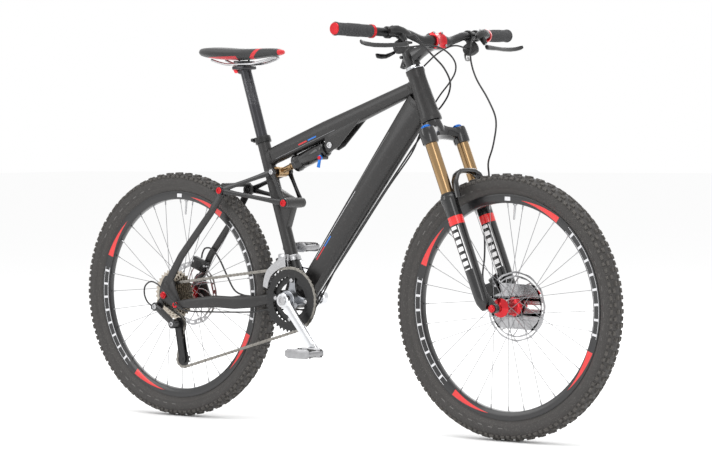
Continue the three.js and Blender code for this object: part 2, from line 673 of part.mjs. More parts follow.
// Spokes leave the flanges along tangents, every other one turned the other way, and end at the rim.
function hubWithSpokes(shellProfile, flangeLeft, flangeRight) {
  const hub = turned(shellProfile, 12);
  const flangeRadius = 20.5;
  const lean = 64;
  const spokes = [];
  for (let i = 0; i < spokeCount; i += 1) {
    const rimTurn = (360 * i) / spokeCount;
    const left = i % 2 === 0;
    const forward = i % 4 < 2 ? 1 : -1;
    const hubTurn = rimTurn + forward * lean;
    const flangeY = (left ? flangeLeft : flangeRight) + forward * 1.2;
    const radial = (radius, turn, y) => vec(radius * Math.sin(radians(turn)), y, radius * Math.cos(radians(turn)));
    spokes.push(rod(radial(flangeRadius, hubTurn, flangeY), radial(rimInner - fitGap, rimTurn, left ? 2.5 : -2.5),
      spokeRadius, spokeRadius, 3));
  }
  return join(hub, ...spokes);
}

const rotorSeat = 15.5;

function rotor(y) {
  const low = y - rotorThick / 2;
  const high = y + rotorThick / 2;
  const band = disc(rotorRadius, rotorRadius - 17, low, high, 24);
  const centre = disc(26, rotorSeat + fitGap, low, high, 12);
  const arms = [];
  for (let i = 0; i < 6; i += 1) {
    const start = radians(60 * i);
    const end = radians(60 * i + 38);
    arms.push(limb(vec(23 * Math.sin(start), y, 23 * Math.cos(start)),
      vec((rotorRadius - 12) * Math.sin(end), y, (rotorRadius - 12) * Math.cos(end)),
      [8, rotorThick * 0.98], [6, rotorThick * 0.98], 4));
  }
  return join(band, centre, ...arms);
}

const hubBore = 5.6;
const frontFlange = 29;

function frontHub() {
  const seat = frontRotorY - rotorThick / 2 - fitGap;
  return hubWithSpokes([[hubBore, -hubEndHalf], [9, -hubEndHalf], [10, -36], [24, -frontFlange - 2.4],
    [24, -frontFlange + 2.4], [12, -22], [12, 22], [24, frontFlange - 2.4], [24, frontFlange + 2.4], [22, seat],
    [rotorSeat, seat], [rotorSeat, frontRotorY + 2], [9, hubEndHalf], [hubBore, hubEndHalf],
    [hubBore, -hubEndHalf]], frontFlange, -frontFlange);
}

const frontWheel = group(steering, forkRake, 0, radians(90 - headAngle));
frontWheel.add(
  node('front_tyre', tyre(), 'rubber'),
  node('front_rim', rim(), 'satinBlack'),
  node('front_hub_spokes', frontHub(), 'red'),
  node('front_rotor', rotor(frontRotorY), 'steel'));

const rearEndHalf = 61.5;
const rearRotorY = 50;
const rearFlangeLeft = 34;
const rearFlangeRight = -19;
const cogCount = cassetteTeeth.length;
const chainCog = cassetteTeeth.indexOf(cogTeeth);
const cogY = (index) => -chainLine + (index - chainCog) * cogSpacing;
const cassetteOuterY = cogY(0) - toothThick / 2;
const cassetteInnerY = cogY(cogCount - 1) + toothThick / 2;
const pitchRadius = (teeth) => (teeth * chainPitch) / (2 * Math.PI);
const tipGrowth = 2;

function rearHub() {
  const seat = rearRotorY - rotorThick / 2 - fitGap;
  const inner = cassetteInnerY + 1.5;
  return hubWithSpokes([[hubBore + 1, inner], [24, rearFlangeRight - 2.2], [24, rearFlangeRight + 2.4],
    [13, rearFlangeRight + 8], [13, rearFlangeLeft - 8], [24, rearFlangeLeft - 2.4], [24, rearFlangeLeft + 2.4],
    [22, seat], [rotorSeat, seat], [rotorSeat, rearRotorY + 2], [10, rearEndHalf], [hubBore + 1, rearEndHalf],
    [hubBore + 1, inner]], rearFlangeLeft, rearFlangeRight);
}

// Cogs stand apart on a sleeve, so that the chain's side plates pass between them.
function cassette() {
  const sleeveRadius = 15.5;
  const sleeve = disc(sleeveRadius, hubBore + 1, cassetteOuterY - 1.5, cassetteInnerY + 1, 12);
  const cogs = cassetteTeeth.map((teeth, index) => disc(pitchRadius(teeth) + tipGrowth, sleeveRadius - 1,
    cogY(index) - toothThick / 2, cogY(index) + toothThick / 2, 16));
  return join(sleeve, ...cogs);
}

const rearWheel = group(bike, rearAxle.x, rearAxle.z);
rearWheel.add(
  node('rear_tyre', tyre(), 'rubber'),
  node('rear_rim', rim(), 'satinBlack'),
  node('rear_hub_spokes', rearHub(), 'red'),
  node('rear_rotor', rotor(rearRotorY), 'steel'),
  node('cassette', cassette(), 'steel'));

// ---------------------------------------------------------------- rear triangle
const dropoutPlateInner = 62.5;
const dropoutPlateOuter = 68.5;
const stayEyeOuter = 75;
const dropoutPinRadius = 6;
const upperEyeInner = 50;
const upperEyeOuter = 58.5;

function chainstays() {
  const sides = bothSides.map((side) => {
    const y = (value) => side * value;
    const deep = side < 0 ? 34 : 26;
    return join(
      pin(mainPivot.x, mainPivot.z, y(24 + fitGap), y(mainYokeHalf), pivotBossRadius),
      limb(shifted(mainPivot, 0, 0, y(28.5)), shifted(mainPivot, -56, -14, y(35.5)), [26, 7], [28, 7], 8),
      limb(shifted(mainPivot, -50, -12.5, y(35.5)), shifted(mainPivot, -96, -26, y(46)), [27, 6.6], [deep, 9], 8),
      limb(shifted(mainPivot, -92, -25, y(45)), shifted(dropoutPivot, 70, 0, y(70)), [deep - 1, 8.6], [deep - 4, 8], 8),
      limb(shifted(dropoutPivot, 74, 0, y(69.5)), shifted(dropoutPivot, 0, 0, y(72)), [deep - 5, 7], [20, 6], 8),
      pin(dropoutPivot.x, dropoutPivot.z, y(dropoutPlateOuter + fitGap + 0.2), y(stayEyeOuter), 11));
  });
  const bridgeX = mainPivot.x - 34;
  const bridge = limb(vec(bridgeX, -32, mainPivot.z - 9), vec(bridgeX, 32, mainPivot.z - 9), [16, 12], [16, 12], 8);
  return cut(join(...sides, bridge),
    pinHole(mainPivot.x, mainPivot.z, -60, 60, axleRadius + pivotGap),
    pinHole(dropoutPivot.x, dropoutPivot.z, -90, 90, dropoutPinRadius + pivotGap));
}

function seatstays() {
  const sides = bothSides.map((side) => {
    const [low, high] = [dropoutPlateInner, dropoutPlateOuter].map((value) => side * value)
      .sort((a, b) => a - b);
    const dropout = plate([
      [rearAxle.x - 16, rearAxle.z - 12], [rearAxle.x - 8, rearAxle.z - 17], [dropoutPivot.x + 2, dropoutPivot.z - 12],
      [dropoutPivot.x + 12, dropoutPivot.z + 4], [rearAxle.x + 34, rearAxle.z + 40],
      [rearAxle.x + 16, rearAxle.z + 56], [rearAxle.x - 4, rearAxle.z + 44], [rearAxle.x - 18, rearAxle.z + 8],
    ], low, high);
    const middle = (dropoutPlateInner + dropoutPlateOuter) / 2;
    const upper = (upperEyeInner + upperEyeOuter) / 2;
    return join(dropout,
      limb(shifted(rearAxle, 16, 36, side * middle), shifted(upperPivot, -6, -9, side * upper),
        [26, 11], [20, 8], 8),
      pin(upperPivot.x, upperPivot.z, side * upperEyeInner, side * upperEyeOuter, 17, 12),
      pin(dropoutPivot.x, dropoutPivot.z, side * (dropoutPlateInner + 1), side * (stayEyeOuter + 1.5),
        dropoutPinRadius));
  });
  const bridgePlace = shifted(upperPivot, 2, 14);
  const bridge = limb(at(bridgePlace, -upperEyeInner - 3), at(bridgePlace, upperEyeInner + 3), [14, 12], [14, 12], 8);
  const hanger = plate([
    [rearAxle.x - 16, rearAxle.z - 8], [rearAxle.x - 6, rearAxle.z - 14], [rearAxle.x - 8, rearAxle.z - 40],
    [rearAxle.x - 30, rearAxle.z - 40], [rearAxle.x - 32, rearAxle.z - 24]], -dropoutPlateOuter, -dropoutPlateInner);
  const calliperMount = limb(vec(rearAxle.x + 20, 63.4, rearAxle.z + 60), vec(rearAxle.x + 31, 63.4, rearAxle.z + 90),
    [18, 11], [16, 11], 4);
  return cut(join(...sides, bridge, hanger, calliperMount),
    pinHole(rearAxle.x, rearAxle.z, -80, 80, skewerRadius + fitGap),
    pinHole(upperPivot.x, upperPivot.z, -80, 80, axleRadius + loopGap, 12));
}

function rocker() {
  const plateMiddle = rockerPlateInner + rockerPlateThick / 2;
  const rearMiddle = upperEyeOuter + 7;
  const sides = bothSides.map((side) => {
    const pivotPoint = at(rockerPivot, side * (plateMiddle - 1));
    const shockPoint = at(shockLower, side * (plateMiddle - 1));
    const rearPoint = at(upperPivot, side * rearMiddle);
    return join(
      pin(rockerPivot.x, rockerPivot.z, side * rockerPlateInner, side * (rockerPlateInner + rockerPlateThick), 13.5),
      pin(shockLower.x, shockLower.z, side * 31, side * (rockerPlateInner + rockerPlateThick), 11),
      pin(upperPivot.x, upperPivot.z, side * (upperEyeOuter + fitGap), side * (upperEyeOuter + 10.5), 12.5),
      pin(upperPivot.x, upperPivot.z, side * (upperEyeInner - 1), side * (upperEyeOuter + 3), axleRadius),
      limb(pivotPoint, rearPoint, [14, 5], [14, 6.6], 4),
      limb(pivotPoint, shockPoint, [14, 5], [14, 5], 4),
      limb(shockPoint, rearPoint, [13, 5], [13, 6.6], 4));
  });
  const shockPin = pin(shockLower.x, shockLower.z, -36, 36, axleRadius);
  return cut(join(...sides, shockPin), pinHole(rockerPivot.x, rockerPivot.z, -80, 80, axleRadius + pivotGap));
}

bike.add(
  node('chainstays', chainstays(), 'glossBlack'),
  node('seatstays', seatstays(), 'paint'),
  node('rocker', rocker(), 'glossBlack'));

const rearAxleGroup = group(bike, rearAxle.x, rearAxle.z);
rearAxleGroup.add(
  node('rear_axle', skewer({ x: 0, z: 0 }, stayEyeOuter - 6, 9, { x: -8, z: 52 }), 'red'),
  node('rear_caliper', calliper(28.4, 79.5, 19.7, rearRotorY, 15), 'satinBlack'));

// ---------------------------------------------------------------- shock
const canRadius = 21;
const shaftRadius = 8;
const canShare = 0.7;
const shockWay = shockUpper.clone().sub(shockLower);
const onShock = (distance) => shockLower.clone().addScaledVector(shockWay.clone().normalize(), distance);
const shockLength = shockWay.length();
const canLow = shockLength * (1 - canShare);
const shaftDepth = 100;
const leverPivot = onShock(shockLength - 36).add(vec(8, 0, -20));
const leverInnerY = -canRadius - 1.5;

function shockCan() {
  const can = rod(onShock(canLow), onShock(shockLength - 24), canRadius, canRadius, 14);
  const collar = rod(onShock(canLow), onShock(canLow + 12), canRadius + 2, canRadius + 2, 14);
  const neck = limb(onShock(shockLength - 26), onShock(shockLength - 6), [34, 21], [22, 21], 8);
  const eye = pin(shockUpper.x, shockUpper.z, -shockEyeHalf, shockEyeHalf, 12, 12);
  const leverBoss = pin(leverPivot.x, leverPivot.z, leverInnerY + fitGap, 4, 5.5, 10);
  return cut(join(can, collar, neck, eye, leverBoss),
    bore(onShock(canLow - 5), onShock(canLow + shaftDepth), shaftRadius + fitGap),
    pinHole(shockUpper.x, shockUpper.z, -30, 30, axleRadius + pivotGap));
}

function shockShaft() {
  const shaft = rod(onShock(10), onShock(canLow + 38), shaftRadius);
  const eye = pin(shockLower.x, shockLower.z, -shockEyeHalf - 8, shockEyeHalf + 8, axleRadius + loopGap + 5, 12);
  return cut(join(shaft, eye), pinHole(shockLower.x, shockLower.z, -40, 40, axleRadius + loopGap, 12));
}

function shockLever() {
  const middle = leverInnerY - 3;
  return join(
    pin(leverPivot.x, leverPivot.z, leverInnerY - 5.5, leverInnerY, 7, 12),
    limb(at(leverPivot, middle), shifted(leverPivot, -6, -26, middle), [9, 5], [11, 5], 8));
}

bike.add(
  node('shock_can', shockCan(), 'glossBlack'),
  node('shock_shaft', shockShaft(), 'gold'),
  node('shock_lever', shockLever(), 'blue'));

// ---------------------------------------------------------------- cranks, rings and pedals
const ringY = -chainLine;
const smallRingTeeth = 32;
const ringHole = 46;
const spiderY = [-48.6, -44.4];
const armInner = 66;
const armOuterRoot = 87;
const crankWay = vec(Math.cos(radians(crankAngle)), 0, Math.sin(radians(crankAngle)));
const onCrank = (distance, side, y) => at(bottomBracket.clone().addScaledVector(crankWay,
  side < 0 ? distance : -distance), side * y);
const pedalInner = 100;
const pedalOuter = 164;

function crankArm(side) {
  const tip = onCrank(crankLength, side, 0);
  return join(
    pin(bottomBracket.x, bottomBracket.z, side * armInner, side * armOuterRoot, 20, 12),
    limb(onCrank(0, side, 76), onCrank(crankLength * 0.5, side, 80), [34, 17], [25, 14], 10),
    limb(onCrank(crankLength * 0.48, side, 80), onCrank(crankLength, side, 86), [25, 14], [26, 13], 10),
    pin(tip.x, tip.z, side * 79.5, side * 93, 13, 10),
    pin(tip.x, tip.z, side * 90, side * (pedalOuter - 12), pedalAxleRadius, 10));
}

function crankRight() {
  const [low, high] = spiderY;
  const spindle = pin(bottomBracket.x, bottomBracket.z, -armInner - 1, armInner - fitGap, spindleRadius, 10);
  const hub = pin(bottomBracket.x, bottomBracket.z, -armInner - 2, high, 26, 12);
  const arms = [];
  for (let i = 0; i < 4; i += 1) {
    const angle = radians(crankAngle + 45 + 90 * i);
    const tip = shifted(bottomBracket, 60 * Math.cos(angle), 60 * Math.sin(angle), (low + high) / 2);
    arms.push(limb(at(bottomBracket, (low + high) / 2), tip, [24, high - low], [14, high - low], 4));
  }
  return join(crankArm(-1), spindle, hub, ...arms);
}

function toothedRing(teeth, boreRadius, y) {
  const radius = pitchRadius(teeth);
  const outline = [];
  for (let i = 0; i < teeth; i += 1) {
    for (const [share, growth] of [[0.2, tipGrowth], [0.8, -3]]) {
      const angle = (2 * Math.PI * (i + share)) / teeth;
      outline.push([(radius + growth) * Math.cos(angle), (radius + growth) * Math.sin(angle)]);
    }
  }
  const body = plate(outline, y - toothThick / 2, y + toothThick / 2);
  return cut(body, pinHole(0, 0, y - 10, y + 10, boreRadius, 16));
}

function pedal(side) {
  const [low, high] = [pedalInner, pedalOuter].map((value) => side * value).sort((a, b) => a - b);
  const barrel = pin(0, 0, low, high, 10, 12);
  const cage = plate([[-42, -8], [-30, -13], [30, -13], [42, -8], [42, 8], [30, 13], [-30, 13], [-42, 8]],
    low + 6, high);
  const window = (x) => block(x, (low + high) / 2 + side * 3, 0, 20, 40, 60);
  const axleHole = bore(vec(0, side * (pedalInner - 5), 0), vec(0, side * (pedalOuter - 8), 0),
    pedalAxleRadius + fitGap, 10);
  return cut(join(cut(cage, window(-23), window(23)), barrel), axleHole);
}

bike.add(node('crank_right', crankRight(), 'polished'), node('crank_left', crankArm(1), 'polished'));
const rings = group(bike, bottomBracket.x, bottomBracket.z);
rings.add(
  node('chainring_big', toothedRing(ringTeeth, ringHole, ringY), 'satinBlack'),
  node('chainring_small', toothedRing(smallRingTeeth, ringHole, ringY + 7), 'satinBlack'));
for (const side of bothSides) {
  const tip = onCrank(crankLength, side, 0);
  group(bike, tip.x, tip.z).add(node(`pedal_${sideName(side)}`, pedal(side), 'steel'));
}

// ---------------------------------------------------------------- rear derailleur
const guidePulley = rearAxle.clone().add(vec(38, 0, -78));
const tensionPulley = guidePulley.clone().add(vec(16, 0, -97));
const hangerBolt = rearAxle.clone().add(vec(-21, 0, -32));
const cagePlateGap = 4.8;
const cagePlateThick = 1.5;
const pulleyPinRadius = 3;
const halfDepth = chainDepth / 2;
const guideRadius = pitchRadius(pulleyTeeth) - halfDepth - 0.8;

function derailleurBody() {
  const knuckleY = [-dropoutPlateOuter - fitGap, -86];
  const hangerKnuckle = pin(hangerBolt.x, hangerBolt.z, ...knuckleY, 12, 12);
  const cageKnuckle = pin(guidePulley.x, guidePulley.z, -60.5, -82, 13, 12);
  const links = limb(vec(hangerBolt.x, -80, hangerBolt.z), vec(guidePulley.x, -73, guidePulley.z),
    [24, 12], [22, 14], 10);
  return join(hangerKnuckle, cageKnuckle, links);
}

function derailleurCage() {
  const plates = bothSides.map((side) => {
    const y = -chainLine + side * (cagePlateGap + cagePlateThick / 2);
    const flat = limb(at(guidePulley, y), at(tensionPulley, y), [22, cagePlateThick], [20, cagePlateThick], 4);
    const ends = [guidePulley, tensionPulley].map((point) => pin(point.x, point.z, y - cagePlateThick / 2,
      y + cagePlateThick / 2, 12, 10));
    return join(flat, ...ends);
  });
  const inner = -chainLine + cagePlateGap + cagePlateThick;
  const pins = [guidePulley, tensionPulley].map((point) => pin(point.x, point.z, inner + 1,
    -chainLine - cagePlateGap - cagePlateThick - 1, pulleyPinRadius, 8));
  const spring = pin(guidePulley.x, guidePulley.z, -chainLine - cagePlateGap - 1, -60.2, 9, 8);
  return join(...plates, ...pins, spring);
}

function pulley(radius) {
  return disc(radius, pulleyPinRadius + fitGap, -toothThick / 2, toothThick / 2, 16);
}

bike.add(
  node('derailleur_body', derailleurBody(), 'glossBlack'),
  node('derailleur_cage', derailleurCage(), 'satinBlack'));
for (const [name, point, radius] of [['pulley_guide', guidePulley, guideRadius],
  ['pulley_tension', tensionPulley, pitchRadius(pulleyTeeth) + tipGrowth]]) {
  const wheel = node(name, pulley(radius), 'satinBlack');
  wheel.position.set(point.x, -chainLine, point.z);
  bike.add(wheel);
}

// ---------------------------------------------------------------- chain
// The path's straights are the tangents between the wheels that it passes, each a circle that the
// chain turns round one way (+1, clockwise seen from the drive side) or the other.
function chainPath(wheels) {
  const joints = wheels.map((wheel, i) => {
    const next = wheels[(i + 1) % wheels.length];
    const dx = next.x - wheel.x;
    const dz = next.z - wheel.z;
    const distance = Math.hypot(dx, dz);
    const lean = Math.asin((wheel.turn * wheel.radius - next.turn * next.radius) / distance);
    const way = Math.atan2(dz, dx) - lean;
    const normal = { x: -Math.sin(way), z: Math.cos(way) };
    const touch = (circle) => [circle.x + circle.turn * circle.radius * normal.x,
      circle.z + circle.turn * circle.radius * normal.z];
    return { leave: touch(wheel), arrive: touch(next) };
  });
  const points = [];
  wheels.forEach((wheel, i) => {
    const { arrive } = joints[(i + wheels.length - 1) % wheels.length];
    const { leave } = joints[i];
    const start = Math.atan2(arrive[1] - wheel.z, arrive[0] - wheel.x);
    let sweep = Math.atan2(leave[1] - wheel.z, leave[0] - wheel.x) - start;
    while (wheel.turn * sweep > 0) sweep -= wheel.turn * 2 * Math.PI;
    while (wheel.turn * sweep < -2 * Math.PI) sweep += wheel.turn * 2 * Math.PI;
    const steps = Math.max(1, Math.ceil(Math.abs(sweep) / radians(15)));
    for (let k = 0; k <= steps; k += 1) {
      const angle = start + (sweep * k) / steps;
      points.push([wheel.x + wheel.radius * Math.cos(angle), wheel.z + wheel.radius * Math.sin(angle)]);
    }
  });
  return points;
}

function chain() {
  const layers = (offset) => chainPath([
    { x: bottomBracket.x, z: bottomBracket.z, radius: pitchRadius(ringTeeth) + offset, turn: 1 },
    { x: tensionPulley.x, z: tensionPulley.z, radius: pitchRadius(pulleyTeeth) + offset, turn: 1 },
    { x: guidePulley.x, z: guidePulley.z, radius: pitchRadius(pulleyTeeth) - offset, turn: -1 },
    { x: rearAxle.x, z: rearAxle.z, radius: pitchRadius(cogTeeth) + offset, turn: 1 },
  ]);
  const half = chainWidth / 2;
  const band = (inner, outer, low, high) => cut(plate(layers(outer), low, high),
    plate(layers(inner), low - 5, high + 5));
  const full = band(-halfDepth, halfDepth, -chainLine - half, -chainLine + half);
  const slot = band(-halfDepth - 1, halfDepth - 1.3, -chainLine - slotWidth / 2, -chainLine + slotWidth / 2);
  return cut(full, slot);
}

bike.add(node('chain', chain(), 'steel'));

// ---------------------------------------------------------------- hoses and shift cables
const brakeHoseRadius = 2.4;
const shiftCableRadius = 2.2;

const frontBrakeRoute = [
  [359.4, 143.5, 1026.7], [362.3, 124, 1023.3], [366.6, 108, 999.2], [375.4, 98, 960.7],
  [399.5, 88, 916.5], [442.1, 79, 863.5], [469.9, 74, 810], [464.2, 70, 748.5], [445.5, 74, 703.4],
  [439.9, 84, 668.9], [433.5, 93, 636.2], [421.2, 94.5, 591.5], [419.6, 86, 546.7], [433.7, 72, 500.7],
  [442.5, 58, 456.8], [445.6, 46, 419.3], [452.6, 39.5, 396.3], [461.6, 38, 386.5]];

const rearBrakeRoute = [
  [359.4, -143.5, 1026.7], [362.3, -122, 1023.3], [366.6, -95, 999.2], [374.5, -60, 971.1],
  [381.7, -30, 944.9], [377.9, 2, 911.1], [357.8, 24, 880.5], [329, 37, 852.9], [299.8, 39, 826.2],
  [276.5, 33, 795.5], [274.7, 16, 773], [249.5, 6, 734.7], [166.6, 4, 634.1], [84.3, 4, 532.9],
  [3.3, 4, 430.6], [-34, 5, 376], [-75, 8, 318.5], [-104, 13, 305], [-137, 22, 306], [-175, 42, 308],
  [-215, 53, 312], [-260, 57, 318], [-320, 62.5, 331], [-372, 61.5, 336], [-405, 56, 350],
  [-430, 52, 392], [-455, 50, 436], [-482, 50, 462], [-506, 50, 464], [-517, 50, 450], [-520.4, 50, 436.4]];

const rearShiftRoute = [
  [339.2, -136.6, 996.4], [343.9, -118, 996.6], [364, -84, 1000.3], [378.5, -48, 996.4],
  [386.6, -15, 981.3], [387.3, 12, 957.9], [373.5, 30, 933.1], [347.8, 38, 905.6], [319.4, 39, 877.1],
  [293.1, 38, 843], [270, 36, 802], [259, 27, 772], [241, 16, 724], [166, 12, 635],
  [83.5, 12, 533.5], [1.3, 12, 432.4], [-40, 10, 381.5], [-80, 5, 326], [-101, 0, 312], [-125, -8, 309],
  [-161, -22, 309], [-205, -34, 309], [-250, -42, 301], [-330, -55, 298], [-400, -64.5, 297],
  [-455, -70, 297], [-485, -78, 304], [-512, -84, 328], [-540, -85, 352], [-566, -85, 370],
  [-590, -85, 375], [-610, -85, 362], [-614, -84, 340], [-606, -82, 320], [-593, -80, 309]];

const frontShiftRoute = [
  [339.2, 136.6, 996.4], [343.2, 116, 998.5], [345.4, 74, 1003.7], [336.9, 46, 998.1], [313.1, 34, 982.2],
  [286.3, 33, 962.9], [261, 33, 940], [249, 33, 905.1], [243.4, 33, 859.8], [232.2, 33, 812.2],
  [238.5, 31.5, 776.6], [182.1, 30.5, 704.9], [101.4, 29.5, 602.4], [20.7, 28.5, 500], [-41.4, 27.8, 424.4],
  [-74, 27, 404], [-100, 26, 414], [-132, 25, 420], [-160, 20, 422], [-178, 8, 425], [-186, -12, 432],
  [-182, -28, 443], [-168.6, -32, 447]];

bike.add(
  node('front_brake_hose', hose(frontBrakeRoute, brakeHoseRadius, 5, 30), 'satinBlack'),
  node('rear_brake_hose', hose(rearBrakeRoute, brakeHoseRadius, 5, 60), 'satinBlack'),
  node('rear_shift_cable', hose(rearShiftRoute, shiftCableRadius, 5, 64), 'satinBlack'),
  node('front_shift_cable', hose(frontShiftRoute, shiftCableRadius, 5, 48), 'satinBlack'));

export default bike;
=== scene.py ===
# %% [markdown]
# # A full-suspension trail bike
# The mechanical model already says where every axle, tube and pivot lies. This lesson dresses it:
# each piece is modelled again with smooth, detailed shapes, in the same place, and rides on the same
# moving body. Lengths inside the lesson are millimetres; a piece becomes metres when it is finished.

# %% Load the moving frame
import math

import bmesh
import bpy
from mathutils import Matrix, Vector


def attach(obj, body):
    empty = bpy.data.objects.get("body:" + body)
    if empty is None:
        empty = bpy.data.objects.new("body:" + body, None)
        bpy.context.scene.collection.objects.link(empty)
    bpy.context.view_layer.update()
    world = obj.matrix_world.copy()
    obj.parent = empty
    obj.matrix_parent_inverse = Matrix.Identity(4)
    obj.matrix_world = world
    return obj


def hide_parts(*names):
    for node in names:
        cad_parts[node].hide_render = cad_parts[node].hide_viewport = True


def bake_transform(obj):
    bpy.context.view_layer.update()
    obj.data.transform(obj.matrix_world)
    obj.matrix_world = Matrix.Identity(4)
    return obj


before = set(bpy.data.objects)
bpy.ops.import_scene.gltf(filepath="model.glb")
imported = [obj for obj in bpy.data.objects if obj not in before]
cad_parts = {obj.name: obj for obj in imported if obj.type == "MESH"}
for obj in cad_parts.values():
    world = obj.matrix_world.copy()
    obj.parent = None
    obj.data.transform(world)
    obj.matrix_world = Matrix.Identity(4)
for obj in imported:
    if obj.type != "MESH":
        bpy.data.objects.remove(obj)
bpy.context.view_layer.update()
MM = 0.001

# %% [markdown]
# ## Camera
# A bike is nearly two metres long, so it is seen from well away with a long lens, which keeps the
# near wheel from looming. The camera stands ahead of the bike on its chain side, just above the hubs.

# %% Camera
IMAGE_WIDTH = 712
SENSOR_WIDTH = 36.0
FOCAL_LENGTH_IN_IMAGE = 2667.4
CAMERA_DISTANCE = 7.0216
LOOK_AT = Vector((0.0689, 0, 0.5056))
azimuth = math.radians(38.446)
elevation = math.radians(2.166)
roll = math.radians(-0.444)

backward = Vector((math.sin(azimuth) * math.cos(elevation),
                   -math.cos(azimuth) * math.cos(elevation), math.sin(elevation)))
level_right = Vector((0, 0, 1)).cross(backward).normalized()
level_up = backward.cross(level_right)
right = level_right * math.cos(roll) + level_up * math.sin(roll)
upward = level_up * math.cos(roll) - level_right * math.sin(roll)
lens = bpy.data.cameras.new("camera")
lens.sensor_width = SENSOR_WIDTH
lens.lens = SENSOR_WIDTH * FOCAL_LENGTH_IN_IMAGE / IMAGE_WIDTH
camera = bpy.data.objects.new("camera", lens)
turn = Matrix((right, upward, backward)).transposed().to_4x4()
camera.matrix_world = Matrix.Translation(LOOK_AT + backward * CAMERA_DISTANCE) @ turn
bpy.context.scene.collection.objects.link(camera)
bpy.context.scene.camera = camera
print("lens", round(lens.lens, 1), "mm")

# %% [markdown]
# ## Studio
# Black paint shows only what it mirrors, so the studio is a pale room with a few large soft panels:
# they draw long clean highlights down the tubes. The floor is a wide pale sheet.

# %% Floor, room and soft panels
FLOOR_HALF = 40.0


def soft_panel(name, place, size, power):
    """An area light that faces the middle of the bike."""
    data = bpy.data.lights.new(name, "AREA")
    data.shape = "RECTANGLE"
    data.size = size[0]
    data.size_y = size[1]
    data.energy = power
    panel = bpy.data.objects.new(name, data)
    panel.location = place
    panel.rotation_euler = (LOOK_AT - Vector(place)).to_track_quat("-Z", "Y").to_euler()
    bpy.context.scene.collection.objects.link(panel)
    return panel


soft_panel("panel_overhead", (0.4, -0.6, 4.2), (5.0, 3.0), 95)
soft_panel("panel_front", (4.2, -3.4, 2.0), (1.6, 3.2), 46)
soft_panel("panel_side", (-3.0, -4.2, 2.2), (2.0, 2.6), 42)
soft_panel("panel_behind", (-1.5, 4.5, 2.6), (4.0, 2.6), 60)

room = bpy.data.worlds.new("pale_room")
room.use_nodes = True
room.node_tree.nodes["Background"].inputs["Color"].default_value = (1.0, 1.0, 1.0, 1)
room.node_tree.nodes["Background"].inputs["Strength"].default_value = 1.0
bpy.context.scene.world = room
bpy.context.scene.view_settings.view_transform = "Standard"

floor_bm = bmesh.new()
bmesh.ops.create_grid(floor_bm, x_segments=1, y_segments=1, size=FLOOR_HALF)
floor_mesh = bpy.data.meshes.new("floor")
floor_bm.to_mesh(floor_mesh)
floor_bm.free()
white_sheet = bpy.data.materials.new("white_sheet")
white_sheet.use_nodes = True
sheet = white_sheet.node_tree.nodes["Principled BSDF"]
sheet.inputs["Base Color"].default_value = (0.97, 0.97, 0.97, 1)
sheet.inputs["Roughness"].default_value = 0.95
sheet.inputs["Specular IOR Level"].default_value = 0.0
floor_mesh.materials.append(white_sheet)
floor = bpy.data.objects.new("floor", floor_mesh)
bpy.context.scene.collection.objects.link(floor)
print("studio ready")

# %% [markdown]
# ## Node helpers
# Each material is a small graph. One helper adds a node and fills its inputs with values or wires,
# and one makes a chain of maths readable, so a finish stays a few lines long.

# %% Node helpers


def place(tree, kind, inputs=None, **settings):
    """Adds a node, sets its options, then fills its inputs with numbers or wires."""
    made = tree.nodes.new(kind)
    for key, value in settings.items():
        setattr(made, key, value)
    for key, value in (inputs or {}).items():
        if isinstance(value, bpy.types.NodeSocket):
            tree.links.new(value, made.inputs[key])
        else:
            made.inputs[key].default_value = value
    return made


def maths(tree, operation, first, second=0.0):
    """The output of one Math node."""
    return place(tree, "ShaderNodeMath", {0: first, 1: second}, operation=operation).outputs[0]


def both(tree, *masks):
    """1 only where every mask is 1."""
    whole = masks[0]
    for mask in masks[1:]:
        whole = maths(tree, "MULTIPLY", whole, mask)
    return whole


def between(tree, value, low, high):
    """1 where value lies between low and high."""
    return both(tree, maths(tree, "GREATER_THAN", value, low), maths(tree, "LESS_THAN", value, high))


def mixed(tree, mask, under, over):
    """The colour over where mask is 1, and under elsewhere."""
    made = place(tree, "ShaderNodeMix", {0: mask, 6: under, 7: over}, data_type="RGBA")
    return made.outputs[2]


def opaque(colour):
    return (*colour, 1.0)


def new_group(name, sockets):
    """A shader node group whose sockets are (name, IN or OUT, kind, starting value)."""
    group = bpy.data.node_groups.new(name, "ShaderNodeTree")
    for label, way, kind, start in sockets:
        socket = group.interface.new_socket(label, in_out=way, socket_type="NodeSocket" + kind)
        if start is not None:
            socket.default_value = start
    return group


def use_group(tree, group, inputs=None):
    made = place(tree, "ShaderNodeGroup", node_tree=group)
    for key, value in (inputs or {}).items():
        if isinstance(value, bpy.types.NodeSocket):
            tree.links.new(value, made.inputs[key])
        else:
            made.inputs[key].default_value = value
    return made


print("node helpers ready")

# %% [markdown]
# ## Shared effects
# Nothing on a ridden bike is one flat colour. The grain group gives any finish a slow drift of tone,
# a finer drift of gloss, dust that gathers in specks, and a height for a faint bump. The round group
# measures an angle and a distance round an axle, for anything that is laid out round a wheel.

